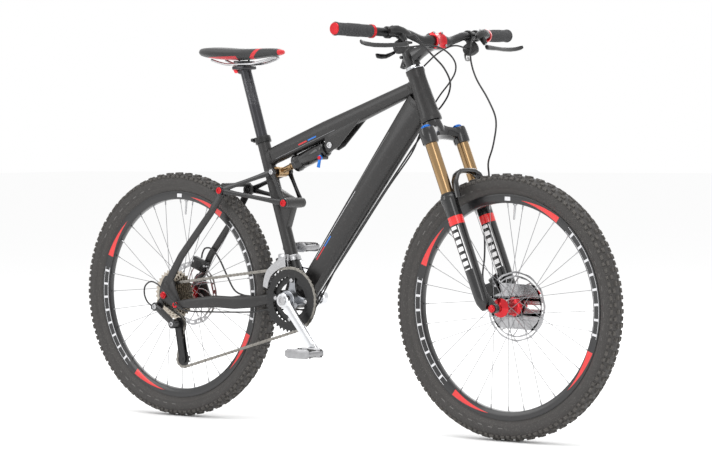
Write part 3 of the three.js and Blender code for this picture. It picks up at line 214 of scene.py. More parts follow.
# %% Grain group
GRAIN = new_group("grain_and_dust", [
    ("Color", "INPUT", "Color", (0.5, 0.5, 0.5, 1)), ("Shade", "INPUT", "Float", 0.2),
    ("Rough", "INPUT", "Float", 0.4), ("Spread", "INPUT", "Float", 0.1),
    ("Scale", "INPUT", "Float", 80.0), ("Stretch", "INPUT", "Vector", (1.0, 1.0, 1.0)),
    ("Dust", "INPUT", "Float", 0.05),
    ("Color", "OUTPUT", "Color", None), ("Roughness", "OUTPUT", "Float", None),
    ("Height", "OUTPUT", "Float", None)])
tree = GRAIN
given = place(tree, "NodeGroupInput")
where = place(tree, "ShaderNodeTexCoord").outputs["Object"]
pulled = place(tree, "ShaderNodeVectorMath", {0: where, 1: given.outputs["Stretch"]},
               operation="MULTIPLY").outputs[0]
slow = place(tree, "ShaderNodeTexNoise", {"Vector": pulled, "Scale": given.outputs["Scale"],
                                          "Detail": 3.0}).outputs["Fac"]
fine_scale = maths(tree, "MULTIPLY", given.outputs["Scale"], 9.0)
fine = place(tree, "ShaderNodeTexNoise", {"Vector": pulled, "Scale": fine_scale,
                                          "Detail": 2.0}).outputs["Fac"]
dark = place(tree, "ShaderNodeMix", {0: 1.0, 6: given.outputs["Color"], 7: (0.45, 0.45, 0.45, 1)},
             data_type="RGBA", blend_type="MULTIPLY").outputs[2]
toned = mixed(tree, both(tree, slow, given.outputs["Shade"]), given.outputs["Color"], dark)
specks = maths(tree, "GREATER_THAN", fine, 0.62)
dusty = mixed(tree, both(tree, specks, given.outputs["Dust"]), toned, opaque((0.42, 0.40, 0.37)))
drift = maths(tree, "MULTIPLY", maths(tree, "SUBTRACT", fine, 0.5), given.outputs["Spread"])
gloss = maths(tree, "ADD", given.outputs["Rough"], drift)
answer = place(tree, "NodeGroupOutput")
tree.links.new(dusty, answer.inputs["Color"])
tree.links.new(gloss, answer.inputs["Roughness"])
tree.links.new(fine, answer.inputs["Height"])
print("grain group", len(tree.nodes), "nodes")

# %% Round group
ROUND = new_group("round_an_axle", [
    ("Centre", "INPUT", "Vector", (0.0, 0.0, 0.0)),
    ("Turn", "OUTPUT", "Float", None), ("Radius", "OUTPUT", "Float", None)])
tree = ROUND
given = place(tree, "NodeGroupInput")
where = place(tree, "ShaderNodeTexCoord").outputs["Object"]
from_axle = place(tree, "ShaderNodeVectorMath", {0: where, 1: given.outputs["Centre"]},
                  operation="SUBTRACT").outputs[0]
parts = place(tree, "ShaderNodeSeparateXYZ", {0: from_axle})
angle = maths(tree, "ARCTAN2", parts.outputs[0], parts.outputs[2])
turns = maths(tree, "ADD", maths(tree, "DIVIDE", angle, 2 * math.pi), 0.5)
squares = maths(tree, "ADD", maths(tree, "POWER", parts.outputs[0], 2.0),
                maths(tree, "POWER", parts.outputs[2], 2.0))
answer = place(tree, "NodeGroupOutput")
tree.links.new(turns, answer.inputs["Turn"])
tree.links.new(maths(tree, "SQRT", squares), answer.inputs["Radius"])
print("round group", len(tree.nodes), "nodes")

# %% [markdown]
# ## Making a finish
# A finish is a Principled shader fed by the grain group. Colour, gloss and bump come through wires
# because they change over the surface; metalness, coat and sheen are one value all over, so they are
# set on the shader itself. A paint function may lay stripes or panels over the base colour.

# %% Finish maker


def finish(name, colour, rough, metal=0.0, coat=0.0, shade=0.5, spread=0.12, scale=40.0,
           stretch=(1.0, 1.0, 1.0), dust=0.0, relief=0.06, depth=0.0001, paint=None, sheen=0.0):
    """A material made of one shader, the grain group and an optional painted pattern."""
    material = bpy.data.materials.new(name)
    material.use_nodes = True
    tree = material.node_tree
    shader = tree.nodes["Principled BSDF"]
    shader.inputs["Metallic"].default_value = metal
    shader.inputs["Coat Weight"].default_value = coat
    shader.inputs["Coat Roughness"].default_value = 0.08
    shader.inputs["Sheen Weight"].default_value = sheen
    grain = use_group(tree, GRAIN, {"Shade": shade, "Rough": rough, "Spread": spread, "Dust": dust,
                                    "Scale": scale, "Stretch": stretch})
    grain.inputs["Color"].default_value = opaque(colour)
    if paint:
        tree.links.new(paint(tree, opaque(colour)), grain.inputs["Color"])
    tree.links.new(grain.outputs["Color"], shader.inputs["Base Color"])
    tree.links.new(grain.outputs["Roughness"], shader.inputs["Roughness"])
    bump = place(tree, "ShaderNodeBump", {"Height": grain.outputs["Height"], "Strength": relief,
                                          "Distance": depth})
    tree.links.new(bump.outputs[0], shader.inputs["Normal"])
    return material


def object_parts(tree):
    """X, Y and Z of the surface point, in metres."""
    where = place(tree, "ShaderNodeTexCoord").outputs["Object"]
    return place(tree, "ShaderNodeSeparateXYZ", {0: where}).outputs


def along_line(tree, start, direction):
    """How far the surface point lies along a line, in metres."""
    where = place(tree, "ShaderNodeTexCoord").outputs["Object"]
    offset = place(tree, "ShaderNodeVectorMath", {0: where, 1: start}, operation="SUBTRACT").outputs[0]
    return place(tree, "ShaderNodeVectorMath", {0: offset, 1: direction},
                 operation="DOT_PRODUCT").outputs["Value"]


print("finish maker ready")

# %% [markdown]
# ## Finishes of the frame and its fittings
# The frame is a satin charcoal with a warm cast. A few short red and blue dashes break up the tubes,
# and thin pale and grey lines along them are painted highlights: each is a band along the tube's own
# line, so it follows the tube wherever it points.

# %% Layout of the frame, in millimetres
FORK_BASE = Vector((513.56, 0, 321.51))
STEER_UP = Vector((-0.369747, 0, 0.929133))
STEER_AHEAD = Vector((0.929133, 0, 0.369747))
SEAT_UP = Vector((-0.300706, 0, 0.953717))
Y_AXIS = Vector((0, 1, 0))
Z_AXIS = Vector((0, 0, 1))
BRACKET = Vector((-115, 0, 338))
REAR_AXLE = Vector((-555, 0, 338))
FRONT_AXLE = Vector((555, 0, 338))
MAIN_PIVOT = Vector((-162, 0, 348))
UPPER_PIVOT = Vector((-348.95, 0, 627.94))
ROCKER_PIVOT = Vector((-145.95, 0, 594.94))
SHOCK_LOWER = Vector((-187.95, 0, 677.94))
SHOCK_UPPER = Vector((-4.95, 0, 748.94))
DROPOUT_PIVOT = Vector((-508, 0, 313))
GUIDE_PULLEY = Vector((-517, 0, 260))
TENSION_PULLEY = Vector((-501, 0, 163))
HANGER_BOLT = Vector((-576, 0, 306))


def fork_point(ahead, y, up):
    """A point from its place in the fork's own frame."""
    return FORK_BASE + STEER_AHEAD * ahead + Y_AXIS * y + STEER_UP * up


def seat_point(along):
    return BRACKET + SEAT_UP * along


def aside(point, y, dx=0.0, dz=0.0):
    return Vector((point.x + dx, y, point.z + dz))


DOWN_TUBE_LOW = aside(BRACKET, 0, 14, 17)
DOWN_TUBE_HIGH = fork_point(-14, 0, 582)
TOP_TUBE_REAR = seat_point(393) + Vector((8, 0, 3))
TOP_TUBE_FRONT = fork_point(-14, 0, 626)
print("head tube from", tuple(round(v) for v in fork_point(0, 0, 523.6)))

# %% Frame paint and bare metals
CHARCOAL = (0.0105, 0.0096, 0.0096)
RED = (0.62, 0.012, 0.02)
BLUE = (0.01, 0.17, 0.62)
CHALK = (0.72, 0.72, 0.74)
SILVER = (0.66, 0.67, 0.69)
STEEL = (0.50, 0.50, 0.51)
BLACK = (0.0035, 0.0035, 0.004)


def tube_bands_and_painted_highlights(tree, base, start, direction, marks):
    """Short coloured bands (from, to, colour) in metres along a tube, on its flank only: decal dashes, and
    thin pale lines that are painted highlights.
    """
    distance = along_line(tree, start * MM, direction)
    height = along_line(tree, start * MM, direction.cross(Y_AXIS))
    colour = base
    for low, high, below, above, tint in marks:
        mask = both(tree, between(tree, distance, low, high), between(tree, height, below, above))
        colour = mixed(tree, mask, colour, opaque(tint))
    return colour


def frame_dashes_and_painted_highlights(tree, base):
    """Decal dashes and painted highlight lines on the down tube, then on the top tube."""
    down = (DOWN_TUBE_HIGH - DOWN_TUBE_LOW).normalized()
    top = (TOP_TUBE_FRONT - TOP_TUBE_REAR).normalized()
    colour = tube_bands_and_painted_highlights(tree, base, DOWN_TUBE_LOW, down, [
        (0.150, 0.185, 0.010, 0.0135, BLUE), (0.105, 0.150, 0.010, 0.0135, RED),
        # painted highlights: the thin pale line and the thin grey line along the down tube
        (0.105, 0.330, 0.018, 0.0193, CHALK), (0.330, 0.520, 0.024, 0.0253, (0.2, 0.2, 0.2))])
    return tube_bands_and_painted_highlights(tree, colour, TOP_TUBE_REAR, top, [
        (0.120, 0.150, -0.0095, -0.006, RED), (0.155, 0.185, -0.0095, -0.006, BLUE),
        # painted highlight: the thin grey line along the top tube
        (0.030, 0.250, -0.0145, -0.0135, (0.22, 0.22, 0.23))])


# The frame finish carries the red and blue dashes and the painted highlight lines.
frame_paint = finish("frame_paint", CHARCOAL, 0.42, coat=0.12, shade=0.35, scale=14, spread=0.08,
                     relief=0.03, dust=0.02, paint=frame_dashes_and_painted_highlights)
gloss_black = finish("gloss_black", BLACK, 0.24, coat=0.3, shade=0.4, scale=22, spread=0.08, dust=0.02)
satin_black = finish("satin_black", (0.007, 0.007, 0.0075), 0.4, metal=0.15, shade=0.5, scale=30,
                     spread=0.16, dust=0.03)
control_plastic = finish("control_plastic", (0.009, 0.009, 0.0095), 0.5, shade=0.4, scale=60,
                         spread=0.2, relief=0.25, dust=0.05)
polished_alloy = finish("polished_alloy", SILVER, 0.16, metal=1.0, shade=0.3, scale=35,
                        stretch=(1, 6, 1), spread=0.14)
satin_alloy = finish("satin_alloy", (0.34, 0.35, 0.37), 0.34, metal=1.0, shade=0.4, scale=40,
                     spread=0.2)
bolt_alloy = finish("bolt_alloy", STEEL, 0.26, metal=1.0, shade=0.5, scale=120, spread=0.2)
red_anodised = finish("red_anodised", RED, 0.22, metal=0.75, coat=0.3, shade=0.5, scale=45,
                      spread=0.1)
blue_anodised = finish("blue_anodised", BLUE, 0.25, metal=0.6, coat=0.3, shade=0.4, scale=60)
hose_black = finish("hose_black", (0.012, 0.012, 0.013), 0.36, shade=0.3, scale=90, spread=0.15)
print("frame finishes ready")

# %% [markdown]
# ## Finishes of the fork, the cockpit and the saddle
# The fork's inner tubes wear a gold-brown anodised coat, polished by the seals, with faint lengthwise
# streaks. The lower legs are gloss black with a red band and a block of pale bars, laid out by height
# along the leg. The saddle's cover carries red and white panels, placed by where they lie on it.

# %% Fork, cockpit and saddle finishes


def leg_bands(tree, base):
    """A red band and a ladder of pale bars on the outer half of each lower leg."""
    height = along_line(tree, FORK_BASE * MM, STEER_UP)
    ahead = along_line(tree, FORK_BASE * MM, STEER_AHEAD)
    flank = maths(tree, "GREATER_THAN", ahead, 0.008)
    red_band = both(tree, flank, between(tree, height, 0.232, 0.254))
    colour = mixed(tree, red_band, base, opaque((0.75, 0.02, 0.02)))
    rung = maths(tree, "GREATER_THAN", maths(tree, "FRACT", maths(tree, "MULTIPLY", height, 52.0)), 0.42)
    ladder = both(tree, between(tree, height, 0.112, 0.228), between(tree, ahead, 0.014, 0.031), rung)
    colour = mixed(tree, ladder, colour, opaque((0.85, 0.85, 0.85)))
    rail = both(tree, between(tree, height, 0.112, 0.228), between(tree, ahead, 0.034, 0.036))
    return mixed(tree, rail, colour, opaque((0.8, 0.8, 0.8)))


def saddle_panels(tree, base):
    """Red nose tip and slanted nose stripe, red lower flank behind, and a pale tail."""
    x, y, z = object_parts(tree)[:3]
    nose = maths(tree, "GREATER_THAN", x, -0.186)
    slant = maths(tree, "ADD", x, maths(tree, "MULTIPLY", z, -0.9))
    stripe = between(tree, slant, -1.165, -1.152)
    colour = mixed(tree, nose, base, opaque(RED))
    colour = mixed(tree, stripe, colour, opaque(RED))
    low = maths(tree, "LESS_THAN", maths(tree, "SUBTRACT", z, maths(tree, "MULTIPLY", x, 0.02)), 0.9975)
    flank = both(tree, low, between(tree, x, -0.40, -0.315))
    colour = mixed(tree, flank, colour, opaque((0.55, 0.02, 0.03)))
    tail = both(tree, maths(tree, "LESS_THAN", x, -0.425), maths(tree, "LESS_THAN", z, 1.008))
    return mixed(tree, tail, colour, opaque((0.6, 0.6, 0.6)))


def post_streaks(tree, base):
    """A few worn pale scratches along the post's ahead side."""
    x, y, z = object_parts(tree)[:3]
    scratch = place(tree, "ShaderNodeTexNoise", {"Scale": 260.0, "Detail": 1.0}).outputs["Fac"]
    worn = both(tree, maths(tree, "GREATER_THAN", scratch, 0.64), between(tree, z, 0.86, 0.93))
    return mixed(tree, worn, base, opaque((0.3, 0.3, 0.31)))


fork_gold = finish("fork_gold", (0.36, 0.235, 0.12), 0.17, metal=0.95, shade=0.35, scale=26,
                   stretch=(9, 9, 0.8), spread=0.08)
leg_black = finish("leg_black", BLACK, 0.2, coat=0.4, shade=0.4, scale=20, dust=0.02,
                   paint=leg_bands)
seatpost_satin = finish("seatpost_satin", (0.045, 0.045, 0.05), 0.3, metal=0.8, coat=0.2, shade=0.4,
                        scale=20, stretch=(6, 6, 0.6), paint=post_streaks)
saddle_cover = finish("saddle_cover", (0.016, 0.016, 0.017), 0.5, shade=0.35, scale=30, spread=0.2,
                      relief=0.35, depth=0.0003, sheen=0.15, paint=saddle_panels)
grip_rubber = finish("grip_rubber", (0.045, 0.045, 0.048), 0.75, shade=0.6, scale=90, spread=0.15,
                     relief=0.5, depth=0.0003, dust=0.15)
print("fork and cockpit finishes ready")

# %% [markdown]
# ## Finishes of the wheels and the drivetrain
# A rim carries red wedges and thin pale outlines, placed by angle round the axle. Both wheels share
# one recipe, with the axle's place given to the round group. A tyre's flank is smooth grey-brown
# rubber with fine moulded lines; its knobs are paler where grit has scuffed them.

# %% Wheel finishes


def rim_wedges(centre):
    """Two sets of decals round a rim: a red wedge, a pale double outline, and a red wedge."""
    def paint(tree, base):
        polar = use_group(tree, ROUND, {"Centre": centre})
        share = maths(tree, "FRACT", maths(tree, "MULTIPLY", polar.outputs["Turn"], 2.0))
        radius = polar.outputs["Radius"]
        colour = base
        for start, end, grows in ((0.06, 0.20, True), (0.62, 0.76, False)):
            ramp = maths(tree, "DIVIDE", maths(tree, "SUBTRACT", share, start), end - start)
            if not grows:
                ramp = maths(tree, "SUBTRACT", 1.0, ramp)
            off_middle = maths(tree, "ABSOLUTE", maths(tree, "SUBTRACT", radius, 0.2745))
            inside = maths(tree, "LESS_THAN", off_middle, maths(tree, "MULTIPLY", ramp, 0.0085))
            wedge = both(tree, between(tree, share, start, end), inside)
            colour = mixed(tree, wedge, colour, opaque((0.78, 0.03, 0.03)))
        band = between(tree, share, 0.24, 0.58)
        steps = maths(tree, "FRACT", maths(tree, "MULTIPLY", share, 23.0))
        for low, high in ((0.2672, 0.2682), (0.2812, 0.2822)):
            line = both(tree, band, between(tree, radius, low, high))
            colour = mixed(tree, line, colour, opaque(CHALK))
        post = both(tree, band, maths(tree, "LESS_THAN", steps, 0.16), between(tree, radius, 0.2682, 0.2812))
        return mixed(tree, post, colour, opaque(CHALK))
    return paint


def moulded_lines(centre):
    """Fine raised rings and a slow mottling on a tyre's flank."""
    def paint(tree, base):
        polar = use_group(tree, ROUND, {"Centre": centre})
        radius = polar.outputs["Radius"]
        ripple = maths(tree, "SINE", maths(tree, "MULTIPLY", radius, 4200.0))
        ring = maths(tree, "GREATER_THAN", ripple, 0.55)
        ribbed = both(tree, ring, between(tree, radius, 0.290, 0.299))
        colour = mixed(tree, ribbed, base, opaque((0.075, 0.07, 0.066)))
        steps = maths(tree, "FRACT", maths(tree, "MULTIPLY", polar.outputs["Turn"], 60.0))
        marks = both(tree, maths(tree, "LESS_THAN", steps, 0.42), between(tree, radius, 0.304, 0.3058),
                     maths(tree, "LESS_THAN", maths(tree, "FRACT", maths(
                         tree, "MULTIPLY", polar.outputs["Turn"], 3.0)), 0.36))
        return mixed(tree, marks, colour, opaque((0.13, 0.125, 0.12)))
    return paint


tyre_rubber = {}
rim_black = {}
for end, centre in (("front", FRONT_AXLE * MM), ("rear", REAR_AXLE * MM)):
    tyre_rubber[end] = finish(end + "_tyre_rubber", (0.036, 0.033, 0.031), 0.62, shade=0.5, scale=40,
                              spread=0.2, relief=0.4, depth=0.0004, dust=0.10,
                              paint=moulded_lines(centre))
    rim_black[end] = finish(end + "_rim_black", (0.010, 0.010, 0.011), 0.3, coat=0.3, shade=0.4,
                            scale=30, paint=rim_wedges(centre))
knob_rubber = finish("knob_rubber", (0.075, 0.069, 0.063), 0.8, shade=0.7, scale=70, spread=0.15,
                     relief=0.6, depth=0.0005, dust=0.22)
hub_red = finish("hub_red", RED, 0.18, metal=0.8, coat=0.4, shade=0.5, scale=50, spread=0.1)
spoke_steel = finish("spoke_steel", (0.30, 0.30, 0.31), 0.3, metal=1.0, shade=0.3, scale=60)
rotor_steel = finish("rotor_steel", (0.48, 0.48, 0.49), 0.28, metal=1.0, shade=0.5, scale=60,
                     stretch=(1, 1, 1), spread=0.3)
chain_steel = finish("chain_steel", (0.30, 0.285, 0.26), 0.34, metal=1.0, shade=0.8, scale=90,
                     spread=0.3, dust=0.1)
cog_steel = finish("cog_steel", (0.52, 0.47, 0.40), 0.3, metal=1.0, shade=0.6, scale=70, spread=0.25)
crank_polished = finish("crank_polished", (0.72, 0.73, 0.75), 0.13, metal=1.0, shade=0.3, scale=30,
                        stretch=(1, 8, 1), spread=0.12)
pedal_alloy = finish("pedal_alloy", (0.42, 0.42, 0.43), 0.32, metal=1.0, shade=0.7, scale=90,
                     spread=0.3, dust=0.1)
print("materials", len(bpy.data.materials))

# %% [markdown]
# ## Shape helpers
# Almost every part of a bike is a tube, a turned part or a cut plate. A loft starts from one ring and
# extrudes its edge through a row of stations, so a tube may swell, flatten or bend. A turned part
# spins a profile about its axis. A plate is one face pushed across. Corners are softened with a bevel.

# %% Loft, spin, plate and block


def station(centre, along, depth, width, wide=Y_AXIS):
    """The matrix that sets a unit ring square to along, depth by width across."""
    along = Vector(along).normalized()
    wide = Vector(wide)
    if abs(along.dot(wide)) > 0.99:
        wide = Z_AXIS if abs(along.z) < 0.9 else Vector((1, 0, 0))
    wide = (wide - along * wide.dot(along)).normalized()
    deep = wide.cross(along)
    turned = Matrix((deep, wide, along)).transposed().to_4x4()
    return Matrix.Translation(centre) @ turned @ Matrix.Diagonal((depth / 2, width / 2, 1, 1))


def loft(bm, stations, sides=20, square=0.0, soften=0.0):
    """Extrudes a ring through the stations and caps both ends. square pulls it towards a box."""
    verts = bmesh.ops.create_circle(bm, cap_ends=False, segments=sides, radius=1)["verts"]
    for vert in verts:
        reach = max(abs(vert.co.x), abs(vert.co.y))
        vert.co *= 1 + square * (1 / reach - 1)
    bmesh.ops.transform(bm, matrix=stations[0], verts=verts)
    edges = list({edge for vert in verts for edge in vert.link_edges})
    ends = [edges]
    for before, after in zip(stations, stations[1:]):
        made = bmesh.ops.extrude_edge_only(bm, edges=edges)["geom"]
        verts = [item for item in made if isinstance(item, bmesh.types.BMVert)]
        fresh = set(verts)
        edges = list({edge for vert in verts for edge in vert.link_edges
                      if edge.other_vert(vert) in fresh})
        bmesh.ops.transform(bm, matrix=after @ before.inverted(), verts=verts)
    ends.append(edges)
    for loop in ends:
        bmesh.ops.contextual_create(bm, geom=loop)
    if soften:
        soften_edges(bm, ends[0] + ends[1], soften)


def soften_edges(bm, edges, width, segments=2):
    bmesh.ops.bevel(bm, geom=edges, offset=width, offset_type="OFFSET", segments=segments, profile=0.5,
                    affect="EDGES", clamp_overlap=True, material=-1)


def limb(bm, start, end, start_size, end_size=None, sides=20, square=0.0, wide=Y_AXIS, soften=0.0):
    """A straight bar between two points, (depth, width) at each end."""
    along = Vector(end) - Vector(start)
    loft(bm, [station(start, along, *start_size, wide),
              station(end, along, *(end_size or start_size), wide)],
         sides, square, soften)


def spun(bm, profile, centre, axis=Y_AXIS, steps=32):
    """Turns a profile of (radius, height) points about an axis. A closed profile repeats its start."""
    axis = Vector(axis).normalized()
    out = axis.orthogonal().normalized()
    closed = profile[0] == profile[-1]
    points = profile[:-1] if closed else profile
    verts = [bm.verts.new(Vector(centre) + out * radius + axis * height) for radius, height in points]
    edges = [bm.edges.new(pair) for pair in zip(verts, verts[1:])]
    if closed:
        edges.append(bm.edges.new((verts[-1], verts[0])))
    bmesh.ops.spin(bm, geom=verts + edges, cent=centre, axis=axis, dvec=(0, 0, 0), angle=2 * math.pi,
                   steps=steps, use_merge=True)


def pin(bm, point, y_low, y_high, radius, steps=24, soften=1.0):
    """A round bar across the bike with softened ends."""
    spun(bm, [(0, y_low), (radius - soften, y_low), (radius, y_low + soften), (radius, y_high - soften),
              (radius - soften, y_high), (0, y_high)], (point.x, 0, point.z), Y_AXIS, steps)


def ring(bm, point, y_low, y_high, radius, bore, steps=32, soften=0.8):
    """A round bar across the bike with a bore."""
    spun(bm, [(bore, y_low), (radius - soften, y_low), (radius, y_low + soften), (radius, y_high - soften),
              (radius - soften, y_high), (bore, y_high), (bore, y_low)],
         (point.x, 0, point.z), Y_AXIS, steps)


def plate(bm, outline, y_low, y_high, soften=0.0, segments=2):
    """A plate in the side plane from its (x, z) outline."""
    face = bm.faces.new([bm.verts.new((x, y_low, z)) for x, z in outline])
    made = bmesh.ops.extrude_face_region(bm, geom=[face])["geom"]
    verts = [item for item in made if isinstance(item, bmesh.types.BMVert)]
    bmesh.ops.translate(bm, vec=(0, y_high - y_low, 0), verts=verts)
    if soften:
        rims = list(face.edges) if face.is_valid else []
        rims += [item for item in made if isinstance(item, bmesh.types.BMEdge)]
        soften_edges(bm, rims, soften, segments)


def block(bm, centre, size, tilt=0.0, soften=1.0, about=Y_AXIS):
    """A box with softened edges, tilted about an axis through its middle."""
    matrix = (Matrix.Translation(centre) @ Matrix.Rotation(math.radians(tilt), 4, about)
              @ Matrix.Diagonal((*size, 1)))
    verts = bmesh.ops.create_cube(bm, size=1, matrix=matrix)["verts"]
    edges = list({edge for vert in verts for edge in vert.link_edges})
    soften_edges(bm, edges, soften)


def smooth_path(points, steps):
    """Points spaced along a smooth curve through the given ones."""
    points = [Vector(point) for point in points]
    padded = [points[0] * 2 - points[1], *points, points[-1] * 2 - points[-2]]
    path = []
    spans = len(points) - 1
    for index in range(steps + 1):
        place_on = index / steps * spans
        span = min(int(place_on), spans - 1)
        t = place_on - span
        a, b, c, d = padded[span:span + 4]
        path.append(0.5 * (2 * b + (c - a) * t + (2 * a - 5 * b + 4 * c - d) * t * t
                           + (3 * b - a - 3 * c + d) * t ** 3))
    return path


def hose(bm, points, radius, steps=40, sides=10):
    """A round hose along a smooth curve; its sides never twist."""
    path = smooth_path(points, steps)
    wide = Vector((0.31, 0.87, 0.38))
    stations = []
    for index, point in enumerate(path):
        along = (path[min(index + 1, steps)] - path[max(index - 1, 0)]).normalized()
        wide = (wide - along * wide.dot(along)).normalized()
        size = radius(index / steps) if callable(radius) else radius
        stations.append(station(point, along, 2 * size, 2 * size, wide))
    loft(bm, stations, sides)


def piece(name, bm, material, body, nodes=(), sharp=38):
    """Closes a mesh, turns it to metres and gives it its finish; a body carries it, if one is named."""
    bmesh.ops.remove_doubles(bm, verts=bm.verts, dist=0.002)
    bmesh.ops.recalc_face_normals(bm, faces=bm.faces)
    bmesh.ops.scale(bm, vec=(MM, MM, MM), verts=bm.verts)
    mesh = bpy.data.meshes.new(name)
    bm.to_mesh(mesh)
    bm.free()
    mesh.polygons.foreach_set("use_smooth", [True] * len(mesh.polygons))
    mesh.set_sharp_from_angle(angle=math.radians(sharp))
    mesh.materials.append(material)
    made = bpy.data.objects.new(name, mesh)
    bpy.context.scene.collection.objects.link(made)
    if body:
        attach(made, body)
    if nodes:
        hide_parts(*nodes)
    print(name, len(mesh.polygons), "faces on", body or "a bending piece")
    return made


print("shape helpers ready")

# %% [markdown]
# ## Frame
# The frame is welded from round and oval tubes that meet at the head tube, the seat tube and the
# bottom bracket shell. The tubes are lofts, the head and seat tubes are turned hollow so that the
# steerer and the post can pass, and a low bead is lofted round each joint, where a weld stands proud.

# %% Frame tubes, shell and gussets
HEAD_LOW = 523.6
HEAD_TOP = 666.0
SEAT_TUBE_TOP = 456.0


def weld(bm, centre, along, size, wide=Y_AXIS, reach=4.0):
    """A rounded bead round a tube."""
    along = Vector(along).normalized()
    rows = [(-1.0, 0.0), (-0.6, 2.2), (0.0, 3.2), (0.6, 2.2), (1.0, 0.0)]
    loft(bm, [station(centre + along * reach * place_on, along, size[0] + swell, size[1] + swell, wide)
              for place_on, swell in rows], 24)


bm = bmesh.new()
spun(bm, [(16.4, HEAD_LOW), (28, HEAD_LOW), (28.6, HEAD_LOW + 2), (28.6, HEAD_LOW + 13),
          (26.4, HEAD_LOW + 22), (25, HEAD_LOW + 60), (23, HEAD_TOP - 26), (23.4, HEAD_TOP - 12),
          (24.8, HEAD_TOP - 8), (24.8, HEAD_TOP - 1), (24, HEAD_TOP), (16.4, HEAD_TOP),
          (16.4, HEAD_LOW)], FORK_BASE, STEER_UP, 40)
spun(bm, [(15.9, 24), (17.5, 24), (17.5, SEAT_TUBE_TOP), (15.9, SEAT_TUBE_TOP), (15.9, 24)],
     BRACKET, SEAT_UP, 32)
down_way = (DOWN_TUBE_HIGH - DOWN_TUBE_LOW).normalized()
down_length = (DOWN_TUBE_HIGH - DOWN_TUBE_LOW).length
loft(bm, [station(DOWN_TUBE_LOW + down_way * down_length * share, down_way, deep, wide)
          for share, deep, wide in ((0, 58, 48), (0.15, 60, 50), (0.4, 66, 52), (0.7, 74, 50),
                                    (0.9, 80, 44), (1.0, 82, 36))], 32, 0.25)
top_way = (TOP_TUBE_FRONT - TOP_TUBE_REAR).normalized()
top_length = (TOP_TUBE_FRONT - TOP_TUBE_REAR).length
loft(bm, [station(TOP_TUBE_REAR + top_way * top_length * share, top_way, deep, wide)
          for share, deep, wide in ((0, 46, 32), (0.1, 47, 38), (0.4, 49, 40), (0.7, 42, 38),
                                    (1.0, 36, 32))], 28, 0.3)
ring(bm, BRACKET, -36.5, 36.5, 23.5, 17.6, 40)
weld(bm, TOP_TUBE_REAR + top_way * 12, top_way, (46, 36))
weld(bm, TOP_TUBE_FRONT - top_way * 11, top_way, (37, 33))
weld(bm, DOWN_TUBE_HIGH - down_way * 13, down_way, (81, 38))
weld(bm, DOWN_TUBE_LOW + down_way * 16, down_way, (58, 47))
weld(bm, seat_point(26), SEAT_UP, (35, 35))
plate(bm, [(-115, 322), (-113, 398), (-148, 402), (-166, 360), (-166, 336)], -15, 15, 3)
ring(bm, MAIN_PIVOT, -24, 24, 14, 6.4)
plate(bm, [(-168, 505), (-140, 583), (-138, 605), (-196, 634), (-186, 590)], -13, 13, 3)
ring(bm, ROCKER_PIVOT, -33, 33, 14, 6.4)
for side in (-1, 1):
    low, high = sorted((side * 11.4, side * 16.3))
    plate(bm, [(-19, 739), (3, 735), (23, 745), (103, 822), (60, 824), (-10, 796), (-25, 789)],
          low, high, 1.6)
print("frame tubes", len(bm.faces))
piece("frame_tubes", bm, frame_paint, "frame", ["main_frame"])

# %% [markdown]
# The hose clips under the down tube and the pivot bolts are small turned or cut parts. They are
# separate pieces because they are a different metal from the painted tubes.

# %% Clips, bearing cups, headset and pivot bolts
bm = bmesh.new()
for share, side in ((0.22, 0.3), (0.5, 0.3), (0.78, 0.3)):
    middle = DOWN_TUBE_LOW + down_way * down_length * share + down_way.cross(Y_AXIS) * (33 + 8 * share)
    for offset in (4, 12):
        block(bm, aside(middle, offset), (16, 6.5, 5), -52, 1.4)
piece("hose_clips", bm, satin_black, "frame")

bm = bmesh.new()
for side in (-1, 1):
    low, high = sorted((side * 36.8, side * 43.8))
    ring(bm, BRACKET, low, high, 21.5, 12.4, 36)
    for notch in range(12):
        angle = math.radians(30 * notch)
        block(bm, aside(BRACKET, side * 40.5, 21 * math.cos(angle), 21 * math.sin(angle)),
              (3, 5, 4), -30 * notch, 0.5)
piece("bearing_cups", bm, satin_black, "frame", ["bottom_bracket"])

bm = bmesh.new()
spun(bm, [(14.7, HEAD_TOP + 0.4), (25, HEAD_TOP + 0.4), (25.2, HEAD_TOP + 2.4), (22, HEAD_TOP + 5),
          (20, HEAD_TOP + 9.8), (14.7, HEAD_TOP + 9.8), (14.7, HEAD_TOP + 0.4)], FORK_BASE, STEER_UP, 40)
piece("headset_cover", bm, polished_alloy, "frame", ["headset_upper"])


def hex_bolt(bm, point, y_face, side, radius, thick=2.6):
    """A round bolt head with a hexagonal socket sunk in it, standing out from a face."""
    start = station(aside(point, y_face), (0, side, 0), 2 * radius, 2 * radius, Z_AXIS)
    verts = bmesh.ops.create_circle(bm, cap_ends=True, segments=24, radius=1)["verts"]
    bmesh.ops.transform(bm, matrix=start, verts=verts)
    face = verts[0].link_faces[0]
    for inset, depth in ((0.0, thick - 0.8), (0.8, 0.8), (radius * 0.42, 0.0), (0.6, -1.6)):
        if inset:
            bmesh.ops.inset_region(bm, faces=[face], thickness=inset, depth=0)
        else:
            made = bmesh.ops.extrude_discrete_faces(bm, faces=[face])
            face = made["faces"][0]
        bmesh.ops.translate(bm, vec=(0, side * depth, 0), verts=list(face.verts))


def pivot_bolts(name, point, half, radius, material, node):
    bm = bmesh.new()
    pin(bm, point, -half, half, 6, 20, 0.4)
    for side in (-1, 1):
        hex_bolt(bm, point, side * half, side, radius)
    piece(name, bm, material, "frame", [node])


pivot_bolts("main_pivot_bolts", MAIN_PIVOT, 34.3, 9, bolt_alloy, "main_pivot_axle")
pivot_bolts("rocker_pivot_bolts", ROCKER_PIVOT, 40.6, 9.5, red_anodised,
            "rocker_pivot_axle")
pivot_bolts("shock_mount_bolts", SHOCK_UPPER, 16.6, 8.5, bolt_alloy,
            "shock_upper_bolt")

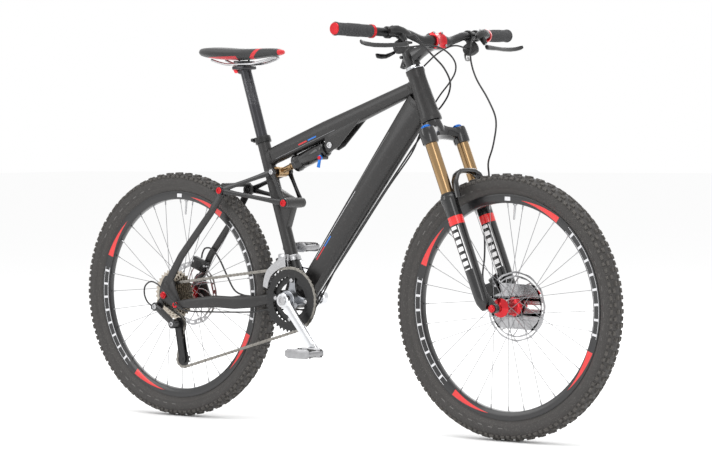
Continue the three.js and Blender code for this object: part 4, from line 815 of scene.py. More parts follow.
# %% [markdown]
# ## Seat clamp, post and saddle
# The post is a plain turned tube, free to slide in the seat tube, with a two-piece head that grips the
# rails. The saddle is a padded shell: a loft along its length, narrow at the nose and broad behind,
# with its flanks rolled under, then one level of subdivision to take out the corners.

# %% Seat clamp
bm = bmesh.new()
spun(bm, [(17.8, 438), (21.6, 438), (22, 439), (22, 453), (21.6, 454), (17.8, 454), (17.8, 438)],
     BRACKET, SEAT_UP, 36)
clamp_lug = seat_point(446) + Vector((-25, 0, 0))
block(bm, clamp_lug, (13, 15, 12), -17.5, 2)
limb(bm, aside(clamp_lug, -14, -3), aside(clamp_lug, 14, -3), (10, 10), soften=1.2)
lever_stations = [(12, -3, 0, 10, 6), (19, 4, -10, 9, 5.5), (24, 13, -26, 10, 5), (27, 20, -38, 11, 4.4)]
loft(bm, [station(aside(clamp_lug, y, dx, dz), (23, 15, -38), deep, wide)
          for y, dx, dz, deep, wide in lever_stations], 16, 0.3, 1.2)
piece("seat_clamp_ring", bm, satin_black, "frame", ["seat_clamp"])

# %% Seatpost and its head
POST_HEAD = seat_point(662)
RAIL_Y = 22.0
bm = bmesh.new()
spun(bm, [(0, 266), (12.6, 266), (15.6, 268), (15.6, 636), (14.6, 648), (0, 650)], BRACKET, SEAT_UP, 36)
for mark in range(6):
    height = 486 + 10 * mark
    spun(bm, [(15.2, height), (15.75, height), (15.75, height + 0.6), (15.2, height + 0.6),
              (15.2, height)], BRACKET, SEAT_UP, 36)
block(bm, aside(POST_HEAD, 0, 2, -17), (30, 28, 20), 0, 5)
block(bm, aside(POST_HEAD, 0, 0, -9.6), (42, 56, 10), 0, 3.5)
block(bm, aside(POST_HEAD, 0, 0, 6.6), (32, 54, 5), 0, 2)
block(bm, aside(POST_HEAD, 0, 0, 0), (28, 28, 14), 0, 3)
for dx in (-17, 17):
    limb(bm, aside(POST_HEAD, 0, dx, -18), aside(POST_HEAD, 0, dx, 12), (5.5, 5.5), soften=0.8)
piece("seatpost_tube", bm, seatpost_satin, "seatpost", ["seatpost"])
bm = bmesh.new()
block(bm, aside(POST_HEAD, 0, -18, -11), (16, 40, 13), 8, 3)
spun(bm, [(0, -13), (6, -13), (7, -12), (7, 12), (6, 13), (0, 13)],
     aside(POST_HEAD, 0, -20, -17), Y_AXIS, 24)
piece("seatpost_cradle_nut", bm, red_anodised, "seatpost")

# %% Saddle rails and saddle
rail_half = [(-92, RAIL_Y + 8, 13.5), (-66, RAIL_Y + 3, 5), (-46, RAIL_Y, 0.6), (-34, RAIL_Y, 0),
             (0, RAIL_Y, 0), (34, RAIL_Y, 0), (48, RAIL_Y - 1, 0.6), (74, RAIL_Y - 3, 5),
             (104, 14, 12), (118, 5, 15)]
rail_points = [aside(POST_HEAD, y, dx, dz) for dx, y, dz in rail_half]
rail_points += [aside(POST_HEAD, -y, dx, dz) for dx, y, dz in reversed(rail_half)]
bm = bmesh.new()
hose(bm, rail_points, 3.5, 80, 12)
piece("saddle_rail_wire", bm, bolt_alloy, "seatpost", ["saddle_rails"])

SADDLE_ROWS = [(-445, 22, 1010, 1001), (-441, 42, 1014, 996), (-428, 60, 1017, 990),
               (-408, 67, 1018, 986), (-382, 65, 1017, 983), (-352, 53, 1014.5, 981),
               (-322, 39, 1012, 980), (-292, 29, 1011, 981), (-252, 22, 1011, 984),
               (-218, 19, 1011, 987), (-194, 17, 1009.5, 989), (-180, 13, 1006, 992),
               (-174, 7, 1002.5, 995)]
bm = bmesh.new()
loft(bm, [station((x, 0, (top + under) / 2), (1, 0, 0), top - under, 2 * half)
          for x, half, top, under in SADDLE_ROWS], 24, 0.35)
for vert in bm.verts:
    under = (vert.co.z - 984) / 30
    if under < 0.35:
        vert.co.y *= 0.90 + 0.22 * max(under, 0)
saddle = piece("saddle_shell", bm, saddle_cover, "seatpost", ["saddle"], sharp=80)
smoothing = saddle.modifiers.new("rounding", "SUBSURF")
smoothing.levels = 1
smoothing.render_levels = 1

# %% [markdown]
# ## Fork
# The crown is a forged bridge that clamps the steerer and both inner tubes. The lower legs are one
# casting with the arch: here each leg is turned hollow, so the inner tube really slides in it, and the
# arch is one loft that climbs from leg to leg over the tyre.

# %% Steerer, crown and inner tubes
STANCHION_Y = 67.0
STANCHION_AHEAD = 24.0
SEAL_HEIGHT = 311.0


def leg_spun(bm, side, profile, steps=32):
    spun(bm, profile, fork_point(STANCHION_AHEAD, side * STANCHION_Y, 0), STEER_UP, steps)


bm = bmesh.new()
for side in (-1, 1):
    leg_spun(bm, side, [(0, 180), (15, 180), (16, 182), (16, 470), (0, 470)])
piece("inner_tubes", bm, fork_gold, "steering", ["fork_crown_unit"])

bm = bmesh.new()
spun(bm, [(0, 480), (14.3, 480), (14.3, 721), (0, 721)], FORK_BASE, STEER_UP, 32)
spun(bm, [(0, 488), (26, 488), (27, 500), (24.5, 521), (24, 523.3), (0, 523.3)], FORK_BASE, STEER_UP, 36)
crown_rows = [(-STANCHION_Y, 24, 476, 32, 34), (-50, 21, 480, 32, 32), (-28, 10, 488, 36, 30),
              (-12, 2, 493, 46, 36), (12, 2, 493, 46, 36), (28, 10, 488, 36, 30),
              (50, 21, 480, 32, 32), (STANCHION_Y, 24, 476, 32, 34)]
loft(bm, [station(fork_point(ahead, y, up), (0, 1, 0), deep, tall, STEER_UP)
          for y, ahead, up, deep, tall in crown_rows], 24, 0.3, 2)
for side in (-1, 1):
    leg_spun(bm, side, [(16.2, 452), (19.6, 453), (21, 456), (21.6, 474), (21.4, 490), (20, 494.6),
                        (0, 494.6), (0, 470), (16.2, 470), (16.2, 452)])
piece("fork_crown", bm, leg_black, "steering")

bm = bmesh.new()
for side in (-1, 1):
    leg_spun(bm, side, [(0, 494), (13.5, 494), (14, 495), (13.6, 497), (10.5, 498), (10, 502), (9, 503),
                        (0, 503)], 24)
    for tooth in range(10):
        angle = math.radians(36 * tooth)
        block(bm, fork_point(STANCHION_AHEAD + 10 * math.cos(angle),
                             side * STANCHION_Y + 10 * math.sin(angle), 499.6), (3, 3, 4), 21.7, 0.6)
piece("fork_top_knobs", bm, blue_anodised, "steering")

# %% Lower legs, arch and drop-outs
ARCH_AHEAD = 53.0
bm = bmesh.new()
for side in (-1, 1):
    leg_spun(bm, side, [(0, 4), (8, 3), (11, 8), (17.4, 24), (18.6, 40), (19.6, 180), (20.4, 286),
                        (22, 298), (22.2, SEAL_HEIGHT - 5), (21, SEAL_HEIGHT - 3), (20.6, SEAL_HEIGHT),
                        (17.6, SEAL_HEIGHT + 0.4), (16.3, SEAL_HEIGHT - 1), (16.3, 72), (0, 72)], 36)
    drop_rows = [(26, 62, 52, 26, 16), (31, 60.5, 32, 28, 15), (38, 59, 14, 27, 14), (44.6, 58, 0, 24, 14)]
    loft(bm, [station(fork_point(ahead, side * y, up), STEER_AHEAD * 0.5 - STEER_UP, deep, wide)
              for ahead, y, up, deep, wide in drop_rows], 20, 0.2)
    low, high = sorted((side * 50.3, side * 66))
    ring(bm, FRONT_AXLE, low, high, 12.4, 5.2, 28, 1.2)
arch_rows = [(51, -66, 296, 18, 13), (51, -64, 318, 18, 12), (51, -58, 340, 20, 12),
             (ARCH_AHEAD, -47, 356, 22, 12), (ARCH_AHEAD, -30, 365, 22, 12), (ARCH_AHEAD, 0, 367, 21, 12),
             (ARCH_AHEAD, 30, 365, 22, 12), (ARCH_AHEAD, 47, 356, 22, 12), (51, 58, 340, 20, 12),
             (51, 64, 318, 18, 12), (51, 66, 296, 18, 13)]
ways = [Vector(after[:3]) - Vector(before[:3]) for before, after in
        zip([arch_rows[0], *arch_rows[:-1]], [*arch_rows[1:], arch_rows[-1]])]
loft(bm, [station(fork_point(ahead, y, up), STEER_AHEAD * way.x + Y_AXIS * way.y + STEER_UP * way.z,
                  thick, wide, STEER_AHEAD)
          for (ahead, y, up, wide, thick), way in zip(arch_rows, ways)], 20, 0.3)
limb(bm, fork_point(6.5, 60, 96), fork_point(-18, 50, 88), (20, 11), (14, 9), 16, 0.3, soften=1.5)
piece("lower_legs", bm, leg_black, "fork_lowers", ["fork_lowers"])

bm = bmesh.new()
for side in (-1, 1):
    leg_spun(bm, side, [(16.3, SEAL_HEIGHT), (19.4, SEAL_HEIGHT), (19.4, SEAL_HEIGHT + 2.2),
                        (17.6, SEAL_HEIGHT + 3.4), (17, SEAL_HEIGHT + 6), (16.3, SEAL_HEIGHT + 6.4),
                        (16.3, SEAL_HEIGHT)], 32)
piece("dust_seals", bm, control_plastic, "fork_lowers")


def skewer(name, axle, half, lever_way, body, node):
    """A quick-release: a knurled nut on the chain side, a cam and its lever on the other."""
    bm = bmesh.new()
    pin(bm, axle, -half, half, 4.6, 20, 0.4)
    spun(bm, [(0, -half - 9), (6, -half - 9), (7, -half - 8), (7, -half - 5), (9.4, -half - 4),
              (9.4, -half - 0.4), (0, -half - 0.4)], (axle.x, 0, axle.z), Y_AXIS, 28)
    spun(bm, [(0, half + 0.4), (9.4, half + 0.4), (9.4, half + 9), (7.5, half + 11), (0, half + 11)],
         (axle.x, 0, axle.z), Y_AXIS, 28)
    rows = [(0, 7, 11, 7), (0.35, 10, 9, 5.5), (0.75, 12, 11, 5), (1.0, 13, 12, 4)]
    reach = Vector((lever_way[0], 6, lever_way[1]))
    loft(bm, [station(aside(axle, half + y, lever_way[0] * share, lever_way[1] * share), reach, deep, wide)
              for share, y, deep, wide in rows], 16, 0.3, 1)
    for tooth in range(12):
        angle = math.radians(30 * tooth)
        block(bm, aside(axle, -half - 2.4, 9.2 * math.cos(angle), 9.2 * math.sin(angle)),
              (1.4, 3.4, 2.2), -30 * tooth, 0.3)
    piece(name, bm, red_anodised, body, [node])


skewer("front_quick_release", FRONT_AXLE, 66.3, (43.5, 36.7), "fork_lowers", "front_axle")
skewer("rear_quick_release", REAR_AXLE, 69, (-8, 52), "seatstays", "rear_axle")

# %% [markdown]
# ## Stem, bar, grips and controls
# The stem is forged black with a red faceplate held by four bolts. The bar swells to its clamp and
# tapers to the grips in one loft. Levers, reservoirs and shifters are lofts and turned parts set along
# the bar's straight outer stretch, mirrored from side to side by one sign.

# %% Stem and faceplate
BAR_AHEAD = 90.0
BAR_HEIGHT = 708.6
STEM_LOW = 676.6
FACE_AHEAD = 92.0

bm = bmesh.new()
spun(bm, [(14.6, STEM_LOW), (19.4, STEM_LOW), (20, STEM_LOW + 2), (19, STEM_LOW + 46),
          (17, STEM_LOW + 48), (14.6, STEM_LOW + 48), (14.6, STEM_LOW)], FORK_BASE, STEER_UP, 36)
loft(bm, [station(fork_point(ahead, 0, up), STEER_AHEAD + STEER_UP * 0.12, deep, wide)
          for ahead, up, deep, wide in ((14, 701, 38, 30), (30, 703, 33, 29), (55, 706, 30, 30),
                                        (72, 708, 34, 38))], 24, 0.35)
spun(bm, [(16.4, -23), (21, -23), (22, -22), (22, 22), (21, 23), (16.4, 23), (16.4, -23)],
     fork_point(BAR_AHEAD - 1, 0, BAR_HEIGHT), Y_AXIS, 36)
front_half = fork_point(FACE_AHEAD, 0, BAR_HEIGHT)
bmesh.ops.bisect_plane(bm, geom=bm.verts[:] + bm.edges[:] + bm.faces[:], plane_co=front_half,
                       plane_no=STEER_AHEAD, clear_outer=True)
bmesh.ops.holes_fill(bm, edges=[edge for edge in bm.edges if edge.is_boundary], sides=0)
for height in (STEM_LOW + 12, STEM_LOW + 36):
    limb(bm, fork_point(-24, -9, height), fork_point(-24, 9, height), (9, 9), soften=1)
block(bm, fork_point(-20, 0, STEM_LOW + 24), (12, 14, 42), 21.7, 2)
piece("stem_body", bm, gloss_black, "steering", ["stem"])

bm = bmesh.new()
spun(bm, [(0, STEM_LOW + 47.6), (16, STEM_LOW + 47.6), (16.4, STEM_LOW + 50), (14, STEM_LOW + 52),
          (4, STEM_LOW + 52), (3.4, STEM_LOW + 50), (0, STEM_LOW + 50)], FORK_BASE, STEER_UP, 32)
piece("stem_cap", bm, satin_black, "steering")

bm = bmesh.new()
spun(bm, [(16.4, -21), (20.4, -21), (21.4, -20), (21.4, -13), (19.6, -10), (19.6, 10), (21.4, 13),
          (21.4, 20), (20.4, 21), (16.4, 21), (16.4, -21)],
     fork_point(BAR_AHEAD, 0, BAR_HEIGHT), Y_AXIS, 36)
bmesh.ops.bisect_plane(bm, geom=bm.verts[:] + bm.edges[:] + bm.faces[:],
                       plane_co=fork_point(FACE_AHEAD + 0.3, 0, BAR_HEIGHT), plane_no=STEER_AHEAD,
                       clear_inner=True)
bmesh.ops.holes_fill(bm, edges=[edge for edge in bm.edges if edge.is_boundary], sides=0)
for y in (-16.5, 16.5):
    for up in (-17.5, 17.5):
        limb(bm, fork_point(FACE_AHEAD + 0.4, y, BAR_HEIGHT + up),
             fork_point(FACE_AHEAD + 12, y, BAR_HEIGHT + up), (9.5, 9), (8.5, 8), 18, soften=1)
piece("stem_face", bm, red_anodised, "steering", ["stem_faceplate"])
bm = bmesh.new()
for y in (-16.5, 16.5):
    for up in (-17.5, 17.5):
        limb(bm, fork_point(FACE_AHEAD + 11, y, BAR_HEIGHT + up),
             fork_point(FACE_AHEAD + 15, y, BAR_HEIGHT + up), (6.5, 6.5), sides=16, soften=0.7)
piece("stem_face_bolts", bm, bolt_alloy, "steering")

# %% Bar and grips
BEND_Y = 125.0
BAR_HALF = 370.0
GRIP_LENGTH = 130.0


def on_bar(y, ahead=0.0, height=0.0):
    """A point beside the bar's straight outer stretch, y to the left."""
    share = (abs(y) - BEND_Y) / (BAR_HALF - BEND_Y)
    return fork_point(95 - 30 * share + ahead, y, BAR_HEIGHT + 16 + 20 * share + height)


def bar_way(side):
    return (on_bar(side * BAR_HALF) - on_bar(side * BEND_Y)).normalized()


half_bar = [fork_point(BAR_AHEAD, 0, BAR_HEIGHT), fork_point(BAR_AHEAD, 32, BAR_HEIGHT),
            fork_point(BAR_AHEAD, 54, BAR_HEIGHT + 0.6), fork_point(BAR_AHEAD + 3, 86, BAR_HEIGHT + 7.4),
            fork_point(95, 117, BAR_HEIGHT + 15), on_bar(146), on_bar(188), on_bar(240), on_bar(300),
            on_bar(366)]
bar_points = [Vector((point.x, -point.y, point.z)) for point in reversed(half_bar[1:])] + half_bar


def bar_radius(share):
    """15.9 in the clamp, 11.1 at the grips."""
    spread = abs(share - 0.5) * 2
    return 15.9 - 4.8 * min(max((spread - 0.12) / 0.16, 0), 1)


bm = bmesh.new()
hose(bm, bar_points, bar_radius, 72, 24)
piece("bar", bm, satin_black, "steering", ["handlebar"])

for side, name in ((-1, "right"), (1, "left")):
    inner = on_bar(side * (BAR_HALF - GRIP_LENGTH))
    along = bar_way(side)
    bm = bmesh.new()
    profile = [(11.5, 9.5), (16.4, 9.5)]
    for ridge in range(22):
        start = 11 + ridge * 5.1
        swell = 0.7 if 6 < ridge < 15 else 0.0
        profile += [(14.6 + swell, start), (15.9 + swell, start + 0.8), (15.9 + swell, start + 3.4),
                    (14.6 + swell, start + 4.2)]
    profile += [(17.2, 124), (17.4, 127.5), (16, 128.6), (11.5, 128.6), (11.5, 9.5)]
    spun(bm, profile, inner, along, 36)
    piece("grip_sleeve_" + name, bm, grip_rubber, "steering", ["grip_" + name])
    bm = bmesh.new()
    spun(bm, [(11.5, 0.4), (16.8, 0.4), (17.5, 1.2), (17.5, 8), (16.8, 9), (11.5, 9), (11.5, 0.4)],
         inner, along, 32)
    spun(bm, [(0, 128.8), (15, 128.8), (15.6, 129.8), (14.6, 132.4), (0, 132.6)], inner, along, 32)
    limb(bm, inner + along * 4.7 + STEER_AHEAD * -12, inner + along * 4.7 + STEER_AHEAD * -19.4, (6, 6))
    piece("grip_rings_" + name, bm, red_anodised, "steering")

# %% Brake controls and shifters
MASTER_Y = 188.0
POD_Y = 146.0
for side, name in ((-1, "right"), (1, "left")):
    along = bar_way(side)
    bm = bmesh.new()
    spun(bm, [(11.5, -6), (14.6, -6), (15.4, -5), (15.4, 5), (14.6, 6), (11.5, 6), (11.5, -6)],
         on_bar(side * MASTER_Y), along, 28)
    loft(bm, [station(on_bar(side * y, 25, up), along, deep, tall, STEER_UP)
              for y, up, deep, tall in ((140, -13, 9, 9), (146, -13, 13, 13), (150, -12, 17, 17),
                                        (166, -8, 22, 22), (186, -5, 25, 24), (204, -6, 22, 22),
                                        (211, -8, 12, 12))], 22, 0.3)
    limb(bm, on_bar(side * MASTER_Y, 9, -3), on_bar(side * MASTER_Y, 24, -9), (15, 12), sides=16, square=0.3)
    loft(bm, [station(on_bar(side * 172, ahead, up), STEER_UP * -1 + STEER_AHEAD * 0.25, deep, wide, along)
              for ahead, up, deep, wide in ((25, -14, 18, 15), (28, -26, 15, 13), (30, -36, 12, 10))],
         18, 0.3, 1)
    piece("brake_body_" + name, bm, satin_black, "steering", ["brake_master_" + name])
    bm = bmesh.new()
    for y in (176, 196):
        limb(bm, on_bar(side * y, 26, 4), on_bar(side * y, 26, 8.4), (5.4, 5.4), sides=16, soften=0.6)
    limb(bm, on_bar(side * 172, 31, -33.6), on_bar(side * 172, 31, -36), (8, 8), sides=18)
    piece("brake_screws_" + name, bm, bolt_alloy, "steering")
    bm = bmesh.new()
    loft(bm, [station(on_bar(side * y, ahead, up), along, deep, tall, STEER_UP)
              for y, ahead, up, deep, tall in ((171, 31, -44.4, 10, 12), (178, 31, -45.5, 9, 14),
                                               (196, 32.5, -48, 7, 13), (214, 34, -50, 7, 11),
                                               (250, 33, -52.5, 6.4, 11.5), (290, 33.5, -54, 6, 12),
                                               (322, 37, -53.6, 6, 12), (340, 42, -52.6, 7, 11.5),
                                               (346, 45, -52, 8, 9))], 16, 0.35, 1)
    piece("brake_blade_" + name, bm, gloss_black, "brake_lever_" + name,
          ["brake_lever_" + name])
    bm = bmesh.new()
    spun(bm, [(11.5, -5), (14.2, -5), (15, -4), (15, 4), (14.2, 5), (11.5, 5), (11.5, -5)],
         on_bar(side * POD_Y), along, 28)
    limb(bm, on_bar(side * POD_Y, -2, -10), on_bar(side * POD_Y, -4, -24), (16, 10), sides=16, square=0.3)
    loft(bm, [station(on_bar(side * (POD_Y + y), -6, up), along, deep, tall, STEER_UP)
              for y, up, deep, tall in ((-9, -33, 24, 18), (-6, -33, 38, 30), (2, -34, 41, 35),
                                        (10, -34, 40, 35), (16, -34, 34, 30), (19, -34, 22, 20))],
         24, 0.25)
    limb(bm, on_bar(side * (POD_Y - 8), 6, -28), on_bar(side * (POD_Y - 22), 8, -28), (9, 9), (6, 6), 18)
    piece("shifter_pod_" + name, bm, control_plastic, "steering", ["shifter_" + name])
    bm = bmesh.new()
    loft(bm, [station(on_bar(side * (POD_Y + y), ahead, up), along, deep, tall, STEER_UP)
              for y, ahead, up, deep, tall in ((5, -29, -40, 5, 9), (13, -36, -43, 5, 10),
                                               (24, -43, -46, 5, 12), (38, -46, -45.5, 5, 14),
                                               (50, -46.5, -44.4, 5, 14), (54, -46.5, -44, 3, 10))],
         16, 0.3, 0.8)
    piece("shift_paddle_" + name, bm, gloss_black, "shift_trigger_" + name,
          ["shift_trigger_" + name])
print("cockpit done")

# %% [markdown]
# ## Wheels
# Each wheel is a hub, thirty-two laced spokes, a rim, a tyre and a brake disc. The tyre's casing is
# spun, then one pitch of tread knobs is made and turned round the axle sixty times, each knob only a
# tapered block, because hundreds of them must stay light. Spokes leave the hub along tangents, every
# other one the other way, and end in a small nipple at the rim.

# %% Tyres
TREAD_PITCHES = 60
TYRE_SKIN = [(279.9, -9.4), (286, -10.4), (291, -15), (298, -22), (306, -26.4), (314, -27.8),
             (322, -26), (329, -20.4), (333, -12), (334.2, 0), (333, 12), (329, 20.4), (322, 26),
             (314, 27.8), (306, 26.4), (298, 22), (291, 15), (286, 10.4), (279.9, 9.4), (279.9, 6.4),
             (300, 17), (326, 14), (330, 0), (326, -14), (300, -17), (279.9, -6.4), (279.9, -9.4)]
KNOB_ROWS = [(0.0, 6.0, 332.9, 0, 13, 8.5, 9.6), (0.0, -6.0, 332.9, 0, 13, 8.5, 9.6),
             (0.5, 14.6, 330.4, 24, 12.5, 8.6, 9.4), (0.5, -14.6, 330.4, -24, 12.5, 8.6, 9.4),
             (0.0, 22.6, 325.6, 48, 13, 7.6, 10.2), (0.5, 23.4, 324.6, 52, 9.5, 7.0, 9.4),
             (0.0, -22.6, 325.6, -48, 13, 7.6, 10.2), (0.5, -23.4, 324.6, -52, 9.5, 7.0, 9.4)]


def tread_knob(bm, axle, turn, y, radius, lean, size):
    """A tapered block on the casing; its hidden underside is left closed inside the rubber."""
    spin = (Matrix.Translation(axle) @ Matrix.Rotation(turn, 4, "Y")
            @ Matrix.Translation((0, y, radius)) @ Matrix.Rotation(math.radians(-lean), 4, "X"))
    verts = bmesh.ops.create_cube(bm, size=1)["verts"]
    for vert in verts:
        taper = 0.82 if vert.co.z > 0 else 1.06
        vert.co = Vector((vert.co.x * size[0] * taper, vert.co.y * size[1] * taper, vert.co.z * size[2]))
    bmesh.ops.transform(bm, matrix=spin, verts=verts)


for end, axle, body in (("front", FRONT_AXLE, "front_wheel"), ("rear", REAR_AXLE, "rear_wheel")):
    bm = bmesh.new()
    spun(bm, TYRE_SKIN, axle, Y_AXIS, 128)
    piece(end + "_tyre_casing", bm, tyre_rubber[end], body, [end + "_tyre"], 60)
    bm = bmesh.new()
    for offset, y, radius, lean, long, wide, tall in KNOB_ROWS:
        for pitch in range(TREAD_PITCHES):
            turn = 2 * math.pi * (pitch + offset) / TREAD_PITCHES
            trim = 1.0 + 0.08 * math.cos(pitch * 2.4)
            tread_knob(bm, axle, turn, y, radius, lean, (long * trim, wide, tall))
    piece(end + "_tread", bm, knob_rubber, body, sharp=20)

# %% Rims and valves
RIM_SKIN = [(263, -6.5), (264.4, -9.6), (270, -12.1), (283, -12.5), (286, -12.3), (286, -10.8),
            (279.6, -10.2), (279.6, 10.2), (286, 10.8), (286, 12.3), (283, 12.5), (270, 12.1),
            (264.4, 9.6), (263, 6.5), (263, -6.5)]
for end, axle, body in (("front", FRONT_AXLE, "front_wheel"), ("rear", REAR_AXLE, "rear_wheel")):
    bm = bmesh.new()
    spun(bm, RIM_SKIN, axle, Y_AXIS, 128)
    piece(end + "_rim_hoop", bm, rim_black[end], body, [end + "_rim"], 30)
    bm = bmesh.new()
    turn = math.radians(5.6)
    outward = Vector((math.sin(turn), 0, math.cos(turn)))
    spun(bm, [(0, 222), (2, 222), (2.6, 224), (2.6, 238), (3, 239), (3, 258), (5.5, 259), (5.5, 262.8),
              (0, 262.8)], axle, outward, 16)
    piece(end + "_valve", bm, bolt_alloy, body)
    bm = bmesh.new()
    for y in (-12.7, 12.4):
        face_turn = math.radians(2.2)
        spot = axle + Vector((math.sin(face_turn), 0, math.cos(face_turn))) * 274.5 + Y_AXIS * (y + 0.15)
        block(bm, spot, (17, 0.5, 10), 2.2, 0.2)
    piece(end + "_rim_patch", bm, finish(end + "_patch_white", CHALK, 0.4, shade=0.2), body)

# %% Hubs, spokes and nipples
SPOKES = 32
SPOKE_LEAN = 64.0


def wheel_point(axle, radius, turn, y):
    return axle + Vector((radius * math.sin(math.radians(turn)), y, radius * math.cos(math.radians(turn))))


def lace(bm, nipples, axle, flange_left, flange_right):
    """Thirty-two spokes, three across, with a nipple each."""
    for index in range(SPOKES):
        rim_turn = 360 * index / SPOKES
        left = index % 2 == 0
        forward = 1 if index % 4 < 2 else -1
        flange = (flange_left if left else flange_right) + forward * 1.6
        start = wheel_point(axle, 20.5, rim_turn + forward * SPOKE_LEAN, flange)
        finish_at = wheel_point(axle, 262.4, rim_turn, 2.5 if left else -2.5)
        way = (finish_at - start).normalized()
        loft(bm, [station(start - way * 2, way, 2.2, 2.2), station(start + way * 12, way, 2.0, 2.0),
                  station(start + way * 16, way, 1.6, 1.6), station(finish_at, way, 1.6, 1.6)], 6)
        limb(nipples, finish_at - way * 11, finish_at, (3.4, 3.4), (4.2, 4.2), 8)
        limb(nipples, start - way * 2 - Y_AXIS * forward * 1.4, start - way * 2 + Y_AXIS * forward * 1.4,
             (4, 4), sides=8)


FRONT_HUB = [(5.6, -50), (9, -50), (9.4, -44), (10.4, -38), (15, -35), (22, -32), (24, -31.4),
             (24.4, -30), (24, -27.4), (19, -25.5), (14, -20), (12.4, -12), (12.4, 12), (14, 20),
             (19, 25.5), (24, 27.4), (24.4, 29), (24, 31.4), (22.4, 36.3), (15.4, 36.4), (15.4, 40),
             (10, 41), (9.4, 46), (9, 50), (5.6, 50), (5.6, -50)]
REAR_HUB = [(6.6, -14.3), (22, -21), (24, -20.6), (24.4, -18.6), (24, -16.6), (19, -15), (14.5, -10),
            (13.4, -4), (13.4, 20), (15, 26), (20, 30.4), (24, 31.8), (24.4, 34), (24, 36.2),
            (22.4, 48.3), (15.4, 48.4), (15.4, 52), (11, 53), (10, 61.5), (6.6, 61.5), (6.6, -14.3)]
for end, axle, body, profile, flanges in (
        ("front", FRONT_AXLE, "front_wheel", FRONT_HUB, (29, -29)),
        ("rear", REAR_AXLE, "rear_wheel", REAR_HUB, (34, -19))):
    bm = bmesh.new()
    spun(bm, profile, axle, Y_AXIS, 48)
    piece(end + "_hub_shell", bm, hub_red, body, [end + "_hub_spokes"])
    bm = bmesh.new()
    nipples = bmesh.new()
    lace(bm, nipples, axle, *flanges)
    piece(end + "_spokes", bm, spoke_steel, body)
    piece(end + "_nipples", nipples, bolt_alloy, body)

# %% [markdown]
# ## Brake discs and callipers
# A brake disc is a thin steel ring with a wavy edge and rows of drilled slots, joined by swept arms to
# a carrier on the hub. The ring is four rings of vertices bridged together; leaving out some faces of
# the middle band opens the slots, and pushing the rest across gives the thickness.

# %% Brake discs
ROTOR_HALF = 0.9
ROTOR_STEPS = 96


def rotor_ring(bm, axle, radius, wave, y):
    verts = bmesh.ops.create_circle(bm, cap_ends=False, segments=ROTOR_STEPS, radius=radius,
                                    matrix=Matrix.Rotation(math.pi / 2, 4, "X"))["verts"]
    for vert in verts:
        angle = math.atan2(vert.co.x, vert.co.z)
        vert.co *= 1 + wave * math.cos(12 * angle)
    bmesh.ops.translate(bm, vec=axle + Y_AXIS * y, verts=verts)
    return list({edge for vert in verts for edge in vert.link_edges})


for end, axle, body, y in (("front", FRONT_AXLE, "front_wheel", 38.0),
                           ("rear", REAR_AXLE, "rear_wheel", 50.0)):
    bm = bmesh.new()
    loops = [rotor_ring(bm, axle, radius, wave, y - ROTOR_HALF)
             for radius, wave in ((74, 0.014), (78.5, 0), (84, 0), (88.6, 0.012))]
    bands = [bmesh.ops.bridge_loops(bm, edges=inner + outer)["faces"]
             for inner, outer in zip(loops, loops[1:])]
    opened = [face for face in bands[1]
              if int((math.atan2(face.calc_center_median().x - axle.x, face.calc_center_median().z - axle.z)
                      / (2 * math.pi) + 1) * ROTOR_STEPS + 0.5) % 4 in (0, 1)]
    bmesh.ops.delete(bm, geom=opened, context="FACES_ONLY")
    made = bmesh.ops.extrude_face_region(bm, geom=bm.faces[:], use_keep_orig=True)["geom"]
    lifted = [item for item in made if isinstance(item, bmesh.types.BMVert)]
    bmesh.ops.translate(bm, vec=(0, 2 * ROTOR_HALF, 0), verts=lifted)
    for arm in range(12):
        sweep = [(24, 0), (36, 9), (50, 20), (64, 30), (75, 37)]
        points = [wheel_point(axle, radius, 30 * arm + turn, y) for radius, turn in sweep]
        ways = [after - before for before, after in
                zip([points[0], *points[:-1]], [*points[1:], points[-1]])]
        loft(bm, [station(point, way, 3.6, 1.7) for point, way in zip(points, ways)], 4, 1.0)
    piece(end + "_brake_disc", bm, rotor_steel, body, [end + "_rotor"], 30)
    bm = bmesh.new()
    ring(bm, axle, y - 1.3, y + 1.3, 27, 15.9, 48, 0.4)
    ring(bm, axle, y + 1.2, y + 4.2, 20, 15.9, 24, 0.8)
    piece(end + "_disc_carrier", bm, satin_black, body)

# %% Brake callipers


def calliper(name, middle, tilt, y, width, body, node):
    """A forged body with a slot for the disc, two round piston covers and its bolts."""
    turn = Matrix.Rotation(math.radians(tilt), 4, "Y")
    bm = bmesh.new()
    for side in (-1, 1):
        block(bm, middle + Y_AXIS * (y + side * (width / 4 + 1.2)), (50, width / 2 - 2.6, 32), tilt, 2.4)
        face = middle + Y_AXIS * (y + side * (width / 2 - 0.4))
        low, high = sorted((face.y, face.y + side * 1.8))
        pin(bm, face, low, high, 11, 28, 0.6)
    block(bm, middle + turn @ Vector((0, 0, 14)) + Y_AXIS * y, (50, width - 1, 6.4), tilt, 1.6)
    piece(name, bm, satin_black, body, [node])
    bm = bmesh.new()
    for dx in (-21, 21):
        spot = middle + turn @ Vector((dx, 0, 4))
        low, high = y - width / 2 - 1, y + width / 2 + 1
        pin(bm, spot, low, high, 3.4, 16, 0.5)
    piece(name + "_bolts", bm, bolt_alloy, body)


calliper("front_brake_body", fork_point(-12, 0, 66), -20.3, 38, 17, "fork_lowers", "front_caliper")
calliper("rear_brake_body", REAR_AXLE + Vector((28.4, 0, 79.5)), 19.7, 50, 15, "seatstays",
         "rear_caliper")
print("wheels done")

# %% [markdown]
# ## Swinging rear end
# The lower stays are deep hollow blades that bow outwards behind the chainrings, the upper stays are
# straight, and a forged rocker ties their tops to the frame and to the shock. Each is a row of lofts
# that overlap where the real part is welded, and every pivot gets its bolts.

